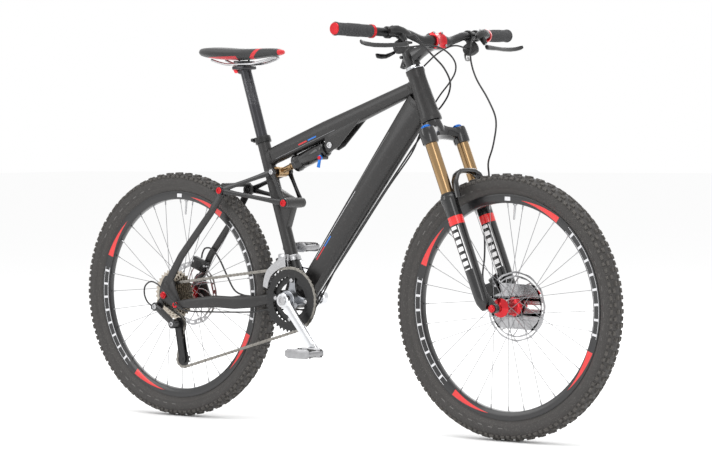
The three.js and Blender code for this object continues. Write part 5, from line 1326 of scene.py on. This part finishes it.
# %% Lower stays
bm = bmesh.new()
for side in (-1, 1):
    deep = 34 if side < 0 else 26
    low, high = sorted((side * 24.3, side * 34))
    ring(bm, MAIN_PIVOT, low, high, 14, 6, 28, 1)
    rows = [(MAIN_PIVOT, 0, 28.8, 24, 7.4), (MAIN_PIVOT, -28, 31, 26, 7.2),
            (MAIN_PIVOT, -56, 36, 27, 6.8), (MAIN_PIVOT, -76, 41, 28, 7.0),
            (MAIN_PIVOT, -98, 46.5, deep - 2, 8.6), (MAIN_PIVOT, -150, 52.6, deep, 9.6),
            (MAIN_PIVOT, -210, 60, deep - 1, 10), (DROPOUT_PIVOT, 66, 69.8, deep - 6, 8.6),
            (DROPOUT_PIVOT, 36, 71, deep - 9, 7.6), (DROPOUT_PIVOT, 0, 72, 20, 6.4)]
    span = DROPOUT_PIVOT - MAIN_PIVOT
    places = []
    for start, ahead, y, tall, wide in rows:
        share = (start.x + ahead - MAIN_PIVOT.x) / span.x
        dip = -11 * math.sin(math.pi * min(share / 0.62, 1))
        places.append((Vector((start.x + ahead, side * y, MAIN_PIVOT.z + span.z * share + dip)), tall, wide))
    ways = [after[0] - before[0] for before, after in
            zip([places[0], *places[:-1]], [*places[1:], places[-1]])]
    loft(bm, [station(point, way, tall, wide, Z_AXIS.cross(way))
              for (point, tall, wide), way in zip(places, ways)], 24, 0.35, 1.2)
    low, high = sorted((side * 69, side * 75))
    ring(bm, DROPOUT_PIVOT, low, high, 11, 6.2, 24, 1)
limb(bm, (-196, -47, 338), (-196, 47, 338), (16, 12), sides=18, square=0.3)
piece("lower_stays", bm, frame_paint, "chainstays", ["chainstays"])

# %% Upper stays and drop-outs
bm = bmesh.new()
DROP_OUTLINE = [(-571, 326), (-563, 321), (-506, 301), (-496, 317), (-508, 345), (-521, 378),
                (-528, 388), (-539, 394), (-551, 391), (-559, 382), (-567, 366), (-573, 346)]
for side in (-1, 1):
    low, high = sorted((side * 62.5, side * 68.5))
    plate(bm, DROP_OUTLINE, low, high, 1.4)
    rows = [(REAR_AXLE, 8, 24, 65.5, 26, 9), (REAR_AXLE, 18, 42, 65.2, 25, 11),
            (REAR_AXLE, 60, 109, 62, 22, 10.5), (UPPER_PIVOT, -40, -60, 56.6, 21, 9),
            (UPPER_PIVOT, -6, -9, 54.25, 24, 8.2)]
    way = UPPER_PIVOT - REAR_AXLE
    loft(bm, [station(aside(point, side * y, dx, dz), way, deep, wide)
              for point, dx, dz, y, deep, wide in rows], 22, 0.3, 1.2)
    low, high = sorted((side * 50, side * 58.5))
    ring(bm, UPPER_PIVOT, low, high, 17, 9, 32, 1.2)
    low, high = sorted((side * 63.5, side * 76.5))
    pin(bm, DROPOUT_PIVOT, low, high, 5.9, 20, 0.8)
limb(bm, aside(UPPER_PIVOT, -54, 2, 14), aside(UPPER_PIVOT, 54, 2, 14), (15, 12), sides=20, square=0.3)
plate(bm, [(-571, 330), (-561, 324), (-561, 306), (-566, 298), (-582, 298), (-587, 306), (-587, 314)],
      -68.5, -62.5, 1)
loft(bm, [station(aside(REAR_AXLE, 63, 20, 60), (11, 0, 30), 18, 11),
          station(aside(REAR_AXLE, 60, 31, 90), (11, 0, 30), 17, 14)], 16, 0.3, 1)
piece("upper_stays", bm, frame_paint, "seatstays", ["seatstays"])

# %% Rocker
bm = bmesh.new()
for side in (-1, 1):
    for point, low, high, radius, bore in ((ROCKER_PIVOT, 33.3, 40.3, 13.5, 6.2),
                                           (SHOCK_LOWER, 31, 40.3, 11, 5), (UPPER_PIVOT, 58.8, 69, 12.5, 5)):
        low, high = sorted((side * low, side * high))
        ring(bm, point, low, high, radius, bore, 28, 1)
    low, high = sorted((side * 49, side * 61.5))
    pin(bm, UPPER_PIVOT, low, high, 6, 20, 0.6)
    for start, y_start, end, y_end, wide in ((ROCKER_PIVOT, 36.4, UPPER_PIVOT, 64.5, 6.6),
                                             (ROCKER_PIVOT, 36.6, SHOCK_LOWER, 36.6, 5.4),
                                             (SHOCK_LOWER, 36.6, UPPER_PIVOT, 64.5, 6.2)):
        first, last = aside(start, side * y_start), aside(end, side * y_end)
        way = last - first
        loft(bm, [station(first.lerp(last, share), way, deep, wide)
                  for share, deep in ((0.06, 17), (0.25, 13), (0.5, 11.5), (0.75, 12.5), (0.94, 16))],
             18, 0.4)
pin(bm, SHOCK_LOWER, -36, 36, 5.9, 20, 0.6)
piece("rocker_forging", bm, gloss_black, "rocker", ["rocker"])

bm = bmesh.new()
for side in (-1, 1):
    hex_bolt(bm, UPPER_PIVOT, side * 69.2, side, 9, 2.4)
piece("rocker_end_bolts", bm, red_anodised, "rocker")
bm = bmesh.new()
for side in (-1, 1):
    hex_bolt(bm, SHOCK_LOWER, side * 40.4, side, 7, 2.0)
piece("rocker_shock_bolts", bm, bolt_alloy, "rocker")
bm = bmesh.new()
for side in (-1, 1):
    hex_bolt(bm, DROPOUT_PIVOT, side * 75.2, side, 8.4, 2.2)
piece("dropout_bolts", bm, red_anodised, "chainstays")

# %% Shock
shock_way = (SHOCK_UPPER - SHOCK_LOWER).normalized()


def shock_point(along):
    return SHOCK_LOWER + shock_way * along


bm = bmesh.new()
spun(bm, [(8.3, 58.9), (21.6, 58.9), (23, 60.4), (23, 69.4), (21.6, 70.9), (21, 72), (21, 84),
          (20.3, 85), (20.3, 88), (21, 89), (21, 150), (20.4, 152), (20.4, 156), (21, 158), (21, 168),
          (18.4, 172.3), (0, 172.3), (0, 160), (8.3, 160), (8.3, 58.9)], SHOCK_LOWER, shock_way, 44)
loft(bm, [station(shock_point(along), shock_way, deep, wide)
          for along, deep, wide in ((168, 32, 24), (178, 30, 22), (190, 22, 21))], 22, 0.3, 1)
ring(bm, SHOCK_UPPER, -11, 11, 12, 5, 28, 1)
lever_pivot = Vector((-30.5, 0, 715.9))
pin(bm, lever_pivot, -22.2, 4, 5.5, 20, 0.6)
piece("shock_sleeve", bm, gloss_black, "shock_can", ["shock_can"])

bm = bmesh.new()
spun(bm, [(0, 8), (8, 8), (8, 96.8), (0, 96.8)], SHOCK_LOWER, shock_way, 32)
ring(bm, SHOCK_LOWER, -19, 19, 14, 9, 32, 1.2)
spun(bm, [(8.4, 40), (9.6, 40.4), (9.6, 43), (8.4, 43.4), (8.4, 40)], SHOCK_LOWER, shock_way, 28)
piece("shock_rod", bm, fork_gold, "shock_shaft", ["shock_shaft"])

bm = bmesh.new()
ring(bm, lever_pivot, -28, -22.6, 7.2, 1.6, 24, 0.8)
limb(bm, aside(lever_pivot, -25.4, -1, -4), aside(lever_pivot, -25.4, -6, -26), (8.5, 5), (11, 4.4),
     18, 0.3, soften=1)
piece("shock_lock_lever", bm, blue_anodised, "shock_lever", ["shock_lever"])
bm = bmesh.new()
pin(bm, lever_pivot, -30.6, -27.8, 5, 20, 0.8)
piece("shock_dial", bm, red_anodised, "shock_lever")
print("rear end done")

# %% [markdown]
# ## Cranks, rings and pedals
# The arms are polished forgings, lofted from the spindle to the pedal boss. A ring is made from one
# outline with real teeth, and its open middle is bridged straight from an inner loop.

# %% Crank arms and spider
RIGHT_TIP = Vector((0.27, 0, 206.3))
LEFT_TIP = Vector((-230.3, 0, 469.7))
for side, tip, name in ((-1, RIGHT_TIP, "right"), (1, LEFT_TIP, "left")):
    way = (tip - Vector((BRACKET.x, 0, BRACKET.z))).normalized()
    bm = bmesh.new()
    low, high = sorted((side * 66, side * 87))
    pin(bm, BRACKET, low, high, 19.6, 36, 2)
    rows = [(0, 77, 33, 17), (24, 78, 30, 16), (60, 79.5, 27, 14.5), (110, 82, 25.4, 13.4),
            (150, 84.4, 25, 13), (175, 86, 25.6, 13)]
    loft(bm, [station(aside(BRACKET, side * y, way.x * along, way.z * along), way, deep, wide)
              for along, y, deep, wide in rows], 24, 0.45, 1.2)
    low, high = sorted((side * 79.5, side * 93))
    pin(bm, tip, low, high, 13, 30, 1.6)
    pin(bm, tip, *sorted((side * 90, side * 152)), 4.9, 18, 0.5)
    if side < 0:
        pin(bm, BRACKET, -67, 65.7, 11.9, 28, 0.5)
    piece("crank_arm_" + name, bm, crank_polished, "crank", ["crank_" + name])

bm = bmesh.new()
pin(bm, BRACKET, -68, -44.6, 25.6, 40, 1.6)
for arm in range(4):
    angle = math.radians(-48.8 + 45 + 90 * arm)
    spoke = Vector((math.cos(angle), 0, math.sin(angle)))
    base = Vector((BRACKET.x, 0, BRACKET.z))
    loft(bm, [station(base + spoke * along + Y_AXIS * -46.8, spoke, wide, 4.4)
              for along, wide in ((16, 30), (34, 21), (50, 17), (60, 18))], 16, 0.5, 0.8)
piece("crank_spider", bm, satin_alloy, "crank")
bm = bmesh.new()
for side in (-1, 1):
    hex_bolt(bm, BRACKET, side * 87.2, side, 13, 2.4)
    for arm in range(4 if side < 0 else 0):
        angle = math.radians(-48.8 + 45 + 90 * arm)
        spot = Vector((BRACKET.x + 52 * math.cos(angle), 0, BRACKET.z + 52 * math.sin(angle)))
        pin(bm, spot, -53.4, -41.6, 5.4, 20, 0.8)
piece("crank_bolts", bm, bolt_alloy, "crank")

# %% Toothed wheels
PITCH = 12.7


def toothed(bm, centre, y, teeth, bore, half=0.95, sweep=0.0, tall=2.2):
    """A sprocket: rounded teeth round a pitch circle, a bored middle, and the given thickness."""
    radius = PITCH / (2 * math.sin(math.pi / teeth))
    outer = []
    for tooth in range(teeth):
        for share, height in ((0.0, -3.4), (0.22, -2.2), (0.4, tall), (0.6, tall), (0.78, -2.2)):
            angle = 2 * math.pi * (tooth + share) / teeth + sweep
            reach = radius + height
            outer.append((centre.x + reach * math.cos(angle), centre.z + reach * math.sin(angle)))
    inner = []
    for index in range(len(outer)):
        angle = 2 * math.pi * index / len(outer) + sweep
        inner.append((centre.x + bore * math.cos(angle), centre.z + bore * math.sin(angle)))
    loops = []
    for y_face, outline in ((y - half, inner), (y - half, outer), (y + half, outer), (y + half, inner)):
        loops.append([bm.verts.new((x, y_face, z)) for x, z in outline])
    for first, second in zip(loops, [*loops[1:], loops[0]]):
        for index in range(len(outer)):
            after = (index + 1) % len(outer)
            bm.faces.new((first[index], first[after], second[after], second[index]))


for name, y, teeth, bore, node in (("big", -50, 42, 62, "chainring_big"), ("small", -43, 32, 46,
                                                                           "chainring_small")):
    bm = bmesh.new()
    toothed(bm, BRACKET, y, teeth, bore)
    for arm in range(4):
        angle = math.radians(-48.8 + 45 + 90 * arm)
        spoke = Vector((math.cos(angle), 0, math.sin(angle)))
        base = Vector((BRACKET.x, 0, BRACKET.z)) + Y_AXIS * y
        limb(bm, base + spoke * 46.4, base + spoke * (bore + 2), (15, 1.8), (24, 1.8), 12, 0.6)
    piece("chain_ring_" + name, bm, satin_black, "crank", [node], 30)

# %% Pedals
for side, tip, name in ((-1, RIGHT_TIP, "right"), (1, LEFT_TIP, "left")):
    low, high = sorted((side * 106, side * 164))
    inner, outer = sorted((side * 100, side * 163.6))
    body = "pedal_" + name
    bm = bmesh.new()
    ring(bm, tip, inner, outer, 10, 5.2, 28, 1)
    for y_face in (low + 2, high - 2):
        plate(bm, [(tip.x - 42, tip.z - 7), (tip.x - 30, tip.z - 12.6), (tip.x + 30, tip.z - 12.6),
                   (tip.x + 42, tip.z - 7), (tip.x + 42, tip.z + 7), (tip.x + 30, tip.z + 12.6),
                   (tip.x - 30, tip.z + 12.6), (tip.x - 42, tip.z + 7)], y_face - 2, y_face + 2, 0.8)
    for end in (-1, 1):
        limb(bm, aside(tip, low + 2, end * 38, 0), aside(tip, high - 2, end * 38, 0), (8, 14), sides=16,
             square=0.4)
    middle = (low + high) / 2
    block(bm, aside(tip, middle), (56, 26, 15), 0, 2.4)
    piece("pedal_cage_" + name, bm, pedal_alloy, body, [body])
    bm = bmesh.new()
    for end in (-1, 1):
        for height in (-1, 1):
            block(bm, aside(tip, middle, end * 24, height * 8.4), (15, 22, 5), height * end * 12, 1.4)
            limb(bm, aside(tip, low + 6, end * 38, height * 7), aside(tip, low + 6, end * 38, height * 11),
                 (4, 4), sides=12)
            limb(bm, aside(tip, high - 6, end * 38, height * 7), aside(tip, high - 6, end * 38, height * 11),
                 (4, 4), sides=12)
    piece("pedal_clips_" + name, bm, satin_black, body)
print("cranks done")

# %% [markdown]
# ## Cassette, derailleurs and chain
# The cassette is nine sprockets on one sleeve. The chain is laid link by link along a path found from
# the four wheels it passes: each straight is the tangent between two circles, and each bend an arc.

# %% Cassette and pulleys
COGS = [11, 13, 15, 17, 20, 23, 26, 30, 34]
CHAIN_Y = -50.0
bm = bmesh.new()
for index, teeth in enumerate(COGS):
    toothed(bm, REAR_AXLE, CHAIN_Y + (index - 2) * 4.34, teeth, 15.5, 0.9, index * 0.07, 1.8)
ring(bm, REAR_AXLE, -61.1, -22, 16.4, 6.6, 32, 0.8)
piece("sprockets", bm, cog_steel, "cassette", ["cassette"], 30)
bm = bmesh.new()
ring(bm, REAR_AXLE, -62.4, -60.6, 15.8, 6.6, 32, 0.6)
piece("cassette_lockring", bm, satin_black, "cassette")

for name, point, teeth, node in (("guide", GUIDE_PULLEY, 10, "pulley_guide"),
                                 ("tension", TENSION_PULLEY, 11, "pulley_tension")):
    bm = bmesh.new()
    if name == "guide":
        ring(bm, point, CHAIN_Y - 0.95, CHAIN_Y + 0.95, 16.9, 4.4, 30, 0.4)
    else:
        toothed(bm, point, CHAIN_Y, teeth, 4.4, 0.95, 0, 1.4)
    ring(bm, point, CHAIN_Y - 2, CHAIN_Y + 2, 8, 4.4, 24, 0.6)
    piece("jockey_" + name, bm, control_plastic, node, [node], 30)

# %% Rear derailleur
bm = bmesh.new()
pin(bm, HANGER_BOLT, -86, -68.8, 12, 32, 2)
pin(bm, GUIDE_PULLEY, -82, -60.6, 13, 32, 2)
for y_start, y_end, shift in ((-83, -76, 5), (-74, -68, -5)):
    first, last = aside(HANGER_BOLT, y_start, shift, 0), aside(GUIDE_PULLEY, y_end, shift, 0)
    loft(bm, [station(first.lerp(last, share), last - first, deep, 7)
              for share, deep in ((0.0, 16), (0.3, 20), (0.7, 20), (1.0, 15))], 18, 0.35, 1)
limb(bm, aside(HANGER_BOLT, -80, -14, -2), aside(HANGER_BOLT, -80, 2, 0), (14, 9), (18, 12), 16, 0.3)
piece("rear_mech_body", bm, gloss_black, "seatstays", ["derailleur_body"])
bm = bmesh.new()
hex_bolt(bm, HANGER_BOLT, -86.1, -1, 7.4, 1.6)
hex_bolt(bm, GUIDE_PULLEY, -82.1, -1, 6.4, 1.4)
piece("rear_mech_bolts", bm, bolt_alloy, "seatstays")

cage_way = (TENSION_PULLEY - GUIDE_PULLEY).normalized()
cage_side = Vector((-cage_way.z, 0, cage_way.x))
bm = bmesh.new()
for side in (-1, 1):
    y = CHAIN_Y + side * 5.5
    outline = []
    for centre, start in ((TENSION_PULLEY, -90), (GUIDE_PULLEY, 90)):
        for step in range(9):
            angle = math.radians(start + 180 * step / 8)
            spot = centre + (cage_way * math.cos(angle) + cage_side * math.sin(angle)) * 11.6
            outline.append((spot.x, spot.z))
    plate(bm, outline, y - 0.75, y + 0.75, 0.2, 1)
    for strip in (-1, 1):
        first = GUIDE_PULLEY + cage_way * 16 + cage_side * strip * 9 + Y_AXIS * (y + side * 0.9)
        last = TENSION_PULLEY - cage_way * 16 + cage_side * strip * 9 + Y_AXIS * (y + side * 0.9)
        limb(bm, first, last, (3.4, 1.8), sides=10, square=0.3)
for point in (GUIDE_PULLEY, TENSION_PULLEY):
    pin(bm, point, CHAIN_Y - 7.6, CHAIN_Y + 7.6, 4, 16, 0.6)
pin(bm, GUIDE_PULLEY, -60.3, CHAIN_Y - 5.6, 9, 24, 0.6)
piece("rear_mech_cage", bm, satin_black, "seatstays", ["derailleur_cage"])

# %% Front derailleur
bm = bmesh.new()
spun(bm, [(19.6, 104.4), (21.8, 104.4), (22.6, 106), (22.6, 118), (21.8, 119.6), (19.6, 119.6),
          (19.6, 104.4)], seat_point(0), SEAT_UP, 36)
block(bm, seat_point(112) + Vector((-4, -33, 4)), (28, 17, 21), 0, 4)
for side in (-1, 1):
    y = CHAIN_Y + side * 5
    inner = []
    outer = []
    for step in range(14):
        angle = math.radians(98 + 62 * step / 13)
        tail = max(step - 8, 0)
        inner.append((BRACKET.x + (89 - tail * 1.4) * math.cos(angle),
                      BRACKET.z + (89 - tail * 1.4) * math.sin(angle)))
        outer.append((BRACKET.x + (110 - tail * 2.4) * math.cos(angle),
                      BRACKET.z + (110 - tail * 2.4) * math.sin(angle)))
    plate(bm, outer + inner[::-1], y - 0.8, y + 0.8, 0.2, 1)
top = math.radians(122)
spot = Vector((BRACKET.x + 108 * math.cos(top), 0, BRACKET.z + 108 * math.sin(top)))
limb(bm, aside(spot, CHAIN_Y - 5.6), aside(spot, CHAIN_Y + 5.6), (16, 3), sides=14, square=0.4)
limb(bm, aside(spot, CHAIN_Y + 5, 0, 0), seat_point(112) + Vector((-6, -32, 0)), (14, 8), (16, 9), 16, 0.3)
piece("front_mech", bm, bolt_alloy, "frame", ["front_derailleur"])

# %% Chain


def chain_path(wheels):
    """The closed path round (x, z, radius, turn) wheels; turn +1 is clockwise on the chain side."""
    joints = []
    for index, (x, z, radius, turn) in enumerate(wheels):
        next_x, next_z, next_radius, next_turn = wheels[(index + 1) % len(wheels)]
        distance = math.hypot(next_x - x, next_z - z)
        lean = math.asin((turn * radius - next_turn * next_radius) / distance)
        way = math.atan2(next_z - z, next_x - x) - lean
        across = (-math.sin(way), math.cos(way))
        joints.append(((x + turn * radius * across[0], z + turn * radius * across[1]),
                       (next_x + next_turn * next_radius * across[0],
                        next_z + next_turn * next_radius * across[1])))
    points = []
    for index, (x, z, radius, turn) in enumerate(wheels):
        arrive = joints[index - 1][1]
        leave = joints[index][0]
        start = math.atan2(arrive[1] - z, arrive[0] - x)
        sweep = math.atan2(leave[1] - z, leave[0] - x) - start
        while turn * sweep > 0:
            sweep -= turn * 2 * math.pi
        while turn * sweep < -2 * math.pi:
            sweep += turn * 2 * math.pi
        steps = max(1, math.ceil(abs(sweep) / math.radians(4)))
        for step in range(steps + 1):
            angle = start + sweep * step / steps
            points.append(Vector((x + radius * math.cos(angle), CHAIN_Y, z + radius * math.sin(angle))))
    return points


def pitch_radius(teeth):
    return PITCH / (2 * math.sin(math.pi / teeth))


path = chain_path([(BRACKET.x, BRACKET.z, pitch_radius(42), 1),
                   (TENSION_PULLEY.x, TENSION_PULLEY.z, pitch_radius(11), 1),
                   (GUIDE_PULLEY.x, GUIDE_PULLEY.z, pitch_radius(11), -1),
                   (REAR_AXLE.x, REAR_AXLE.z, pitch_radius(15), 1)])
path.append(path[0])
lengths = [0.0]
for before, after in zip(path, path[1:]):
    lengths.append(lengths[-1] + (after - before).length)
link_count = 2 * round(lengths[-1] / PITCH / 2)
joints = []
for link in range(link_count):
    reach = lengths[-1] * link / link_count
    index = max(i for i, length in enumerate(lengths[:-1]) if length <= reach)
    share = (reach - lengths[index]) / max(lengths[index + 1] - lengths[index], 1e-6)
    joints.append(path[index].lerp(path[index + 1], share))
plates = bmesh.new()
rollers = bmesh.new()
for link, spot in enumerate(joints):
    after = joints[(link + 1) % link_count]
    way = after - spot
    offset = 2.35 if link % 2 else 1.6
    middle = (spot + after) / 2
    for side in (-1, 1):
        loft(plates, [station(middle + way * share + Y_AXIS * side * offset, way, deep, 0.8)
                      for share, deep in ((-0.78, 4.4), (-0.5, 8.2), (0, 6.0), (0.5, 8.2), (0.78, 4.4))],
             4, 1.0)
    pin(rollers, spot, CHAIN_Y - 2.8, CHAIN_Y + 2.8, 2.0, 8, 0)
    pin(rollers, spot, CHAIN_Y - 1.2, CHAIN_Y + 1.2, 3.8, 10, 0)
for bm, name, nodes in ((plates, "chain_plates", ["chain"]), (rollers, "chain_rollers", [])):
    links = piece(name, bm, chain_steel, "", nodes, 30)
    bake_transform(links)
print("links", link_count)

# %% [markdown]
# ## Hoses and shift cables
# Two brake hoses and two shift cables are round sweeps along smooth curves. A hose that crosses more
# than one joint is cut at its clips, and each cut length is baked in place.

# %% Hoses and cables
FRONT_BRAKE = [
    (359.4, 143.5, 1026.7), (362.3, 124, 1023.3), (366.6, 108, 999.2), (375.4, 98, 960.7),
    (399.5, 88, 916.5), (442.1, 79, 863.5), (469.9, 74, 810), (464.2, 70, 748.5), (445.5, 74, 703.4),
    (439.9, 84, 668.9), (433.5, 93, 636.2), (421.2, 94.5, 591.5), (419.6, 86, 546.7),
    (433.7, 72, 500.7), (442.5, 58, 456.8), (445.6, 46, 419.3), (452.6, 39.5, 396.3), (461.6, 38, 386.5)]
REAR_BRAKE = [
    (359.4, -143.5, 1026.7), (362.3, -122, 1023.3), (366.6, -95, 999.2), (374.5, -60, 971.1),
    (381.7, -30, 944.9), (377.9, 2, 911.1), (357.8, 24, 880.5), (329, 37, 852.9), (299.8, 39, 826.2),
    (276.5, 33, 795.5), (274.7, 16, 773), (249.5, 6, 734.7), (166.6, 4, 634.1), (84.3, 4, 532.9),
    (3.3, 4, 430.6), (-34, 5, 376), (-75, 8, 318.5), (-104, 13, 305), (-137, 22, 306), (-175, 42, 308),
    (-215, 53, 312), (-260, 57, 318), (-320, 62.5, 331), (-372, 61.5, 336), (-405, 56, 350),
    (-430, 52, 392), (-455, 50, 436), (-482, 50, 462), (-506, 50, 464), (-517, 50, 450),
    (-520.4, 50, 436.4)]
REAR_SHIFT = [
    (339.2, -136.6, 996.4), (343.9, -118, 996.6), (364, -84, 1000.3), (378.5, -48, 996.4),
    (386.6, -15, 981.3), (387.3, 12, 957.9), (373.5, 30, 933.1), (347.8, 38, 905.6), (319.4, 39, 877.1),
    (293.1, 38, 843), (270, 36, 802), (259, 27, 772), (241, 16, 724), (166, 12, 635), (83.5, 12, 533.5),
    (1.3, 12, 432.4), (-40, 10, 381.5), (-80, 5, 326), (-101, 0, 312), (-125, -8, 309),
    (-161, -22, 309), (-205, -34, 309), (-250, -42, 301), (-330, -55, 298), (-400, -64.5, 297),
    (-455, -70, 297), (-485, -78, 304), (-512, -84, 328), (-540, -85, 352), (-566, -85, 370),
    (-590, -85, 375), (-610, -85, 362), (-614, -84, 340), (-606, -82, 320), (-593, -80, 309)]
FRONT_SHIFT = [
    (339.2, 136.6, 996.4), (343.2, 116, 998.5), (345.4, 74, 1003.7), (336.9, 46, 998.1),
    (313.1, 34, 982.2), (286.3, 33, 962.9), (261, 33, 940), (249, 33, 905.1), (243.4, 33, 859.8),
    (232.2, 33, 812.2), (238.5, 31.5, 776.6), (182.1, 30.5, 704.9), (101.4, 29.5, 602.4),
    (20.7, 28.5, 500), (-41.4, 27.8, 424.4), (-74, 27, 404), (-100, 26, 414), (-132, 25, 420),
    (-160, 20, 422), (-178, 8, 425), (-186, -12, 432), (-182, -28, 443), (-168.6, -32, 447)]
BRAKE_HOSE = 2.4
SHIFT_CABLE = 2.2


def routed(name, route, radius, first, last, node):
    """One clipped length of a route, swept as a hose and baked in place."""
    fine = smooth_path(route, 4 * (len(route) - 1))
    share = (len(fine) - 1) / (len(route) - 1)
    cut = fine[round(first * share):round(last * share) + 1]
    bm = bmesh.new()
    hose(bm, cut, radius, len(cut) * 2, 10)
    made = piece(name, bm, hose_black, "", [node] if node else [])
    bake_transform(made)


routed("front_brake_line", FRONT_BRAKE, BRAKE_HOSE, 0, 17, "front_brake_hose")
routed("rear_brake_line_front", REAR_BRAKE, BRAKE_HOSE, 0, 12, "rear_brake_hose")
routed("rear_brake_line_middle", REAR_BRAKE, BRAKE_HOSE, 12, 21, "")
routed("rear_brake_line_rear", REAR_BRAKE, BRAKE_HOSE, 21, 30, "")
routed("rear_shift_line_front", REAR_SHIFT, SHIFT_CABLE, 0, 13, "rear_shift_cable")
routed("rear_shift_line_middle", REAR_SHIFT, SHIFT_CABLE, 13, 23, "")
routed("rear_shift_line_rear", REAR_SHIFT, SHIFT_CABLE, 23, 34, "")
routed("front_shift_line", FRONT_SHIFT, SHIFT_CABLE, 0, 22, "front_shift_cable")
print("hoses done")

# %% [markdown]
# ## End

# %% Finish
print("finished")
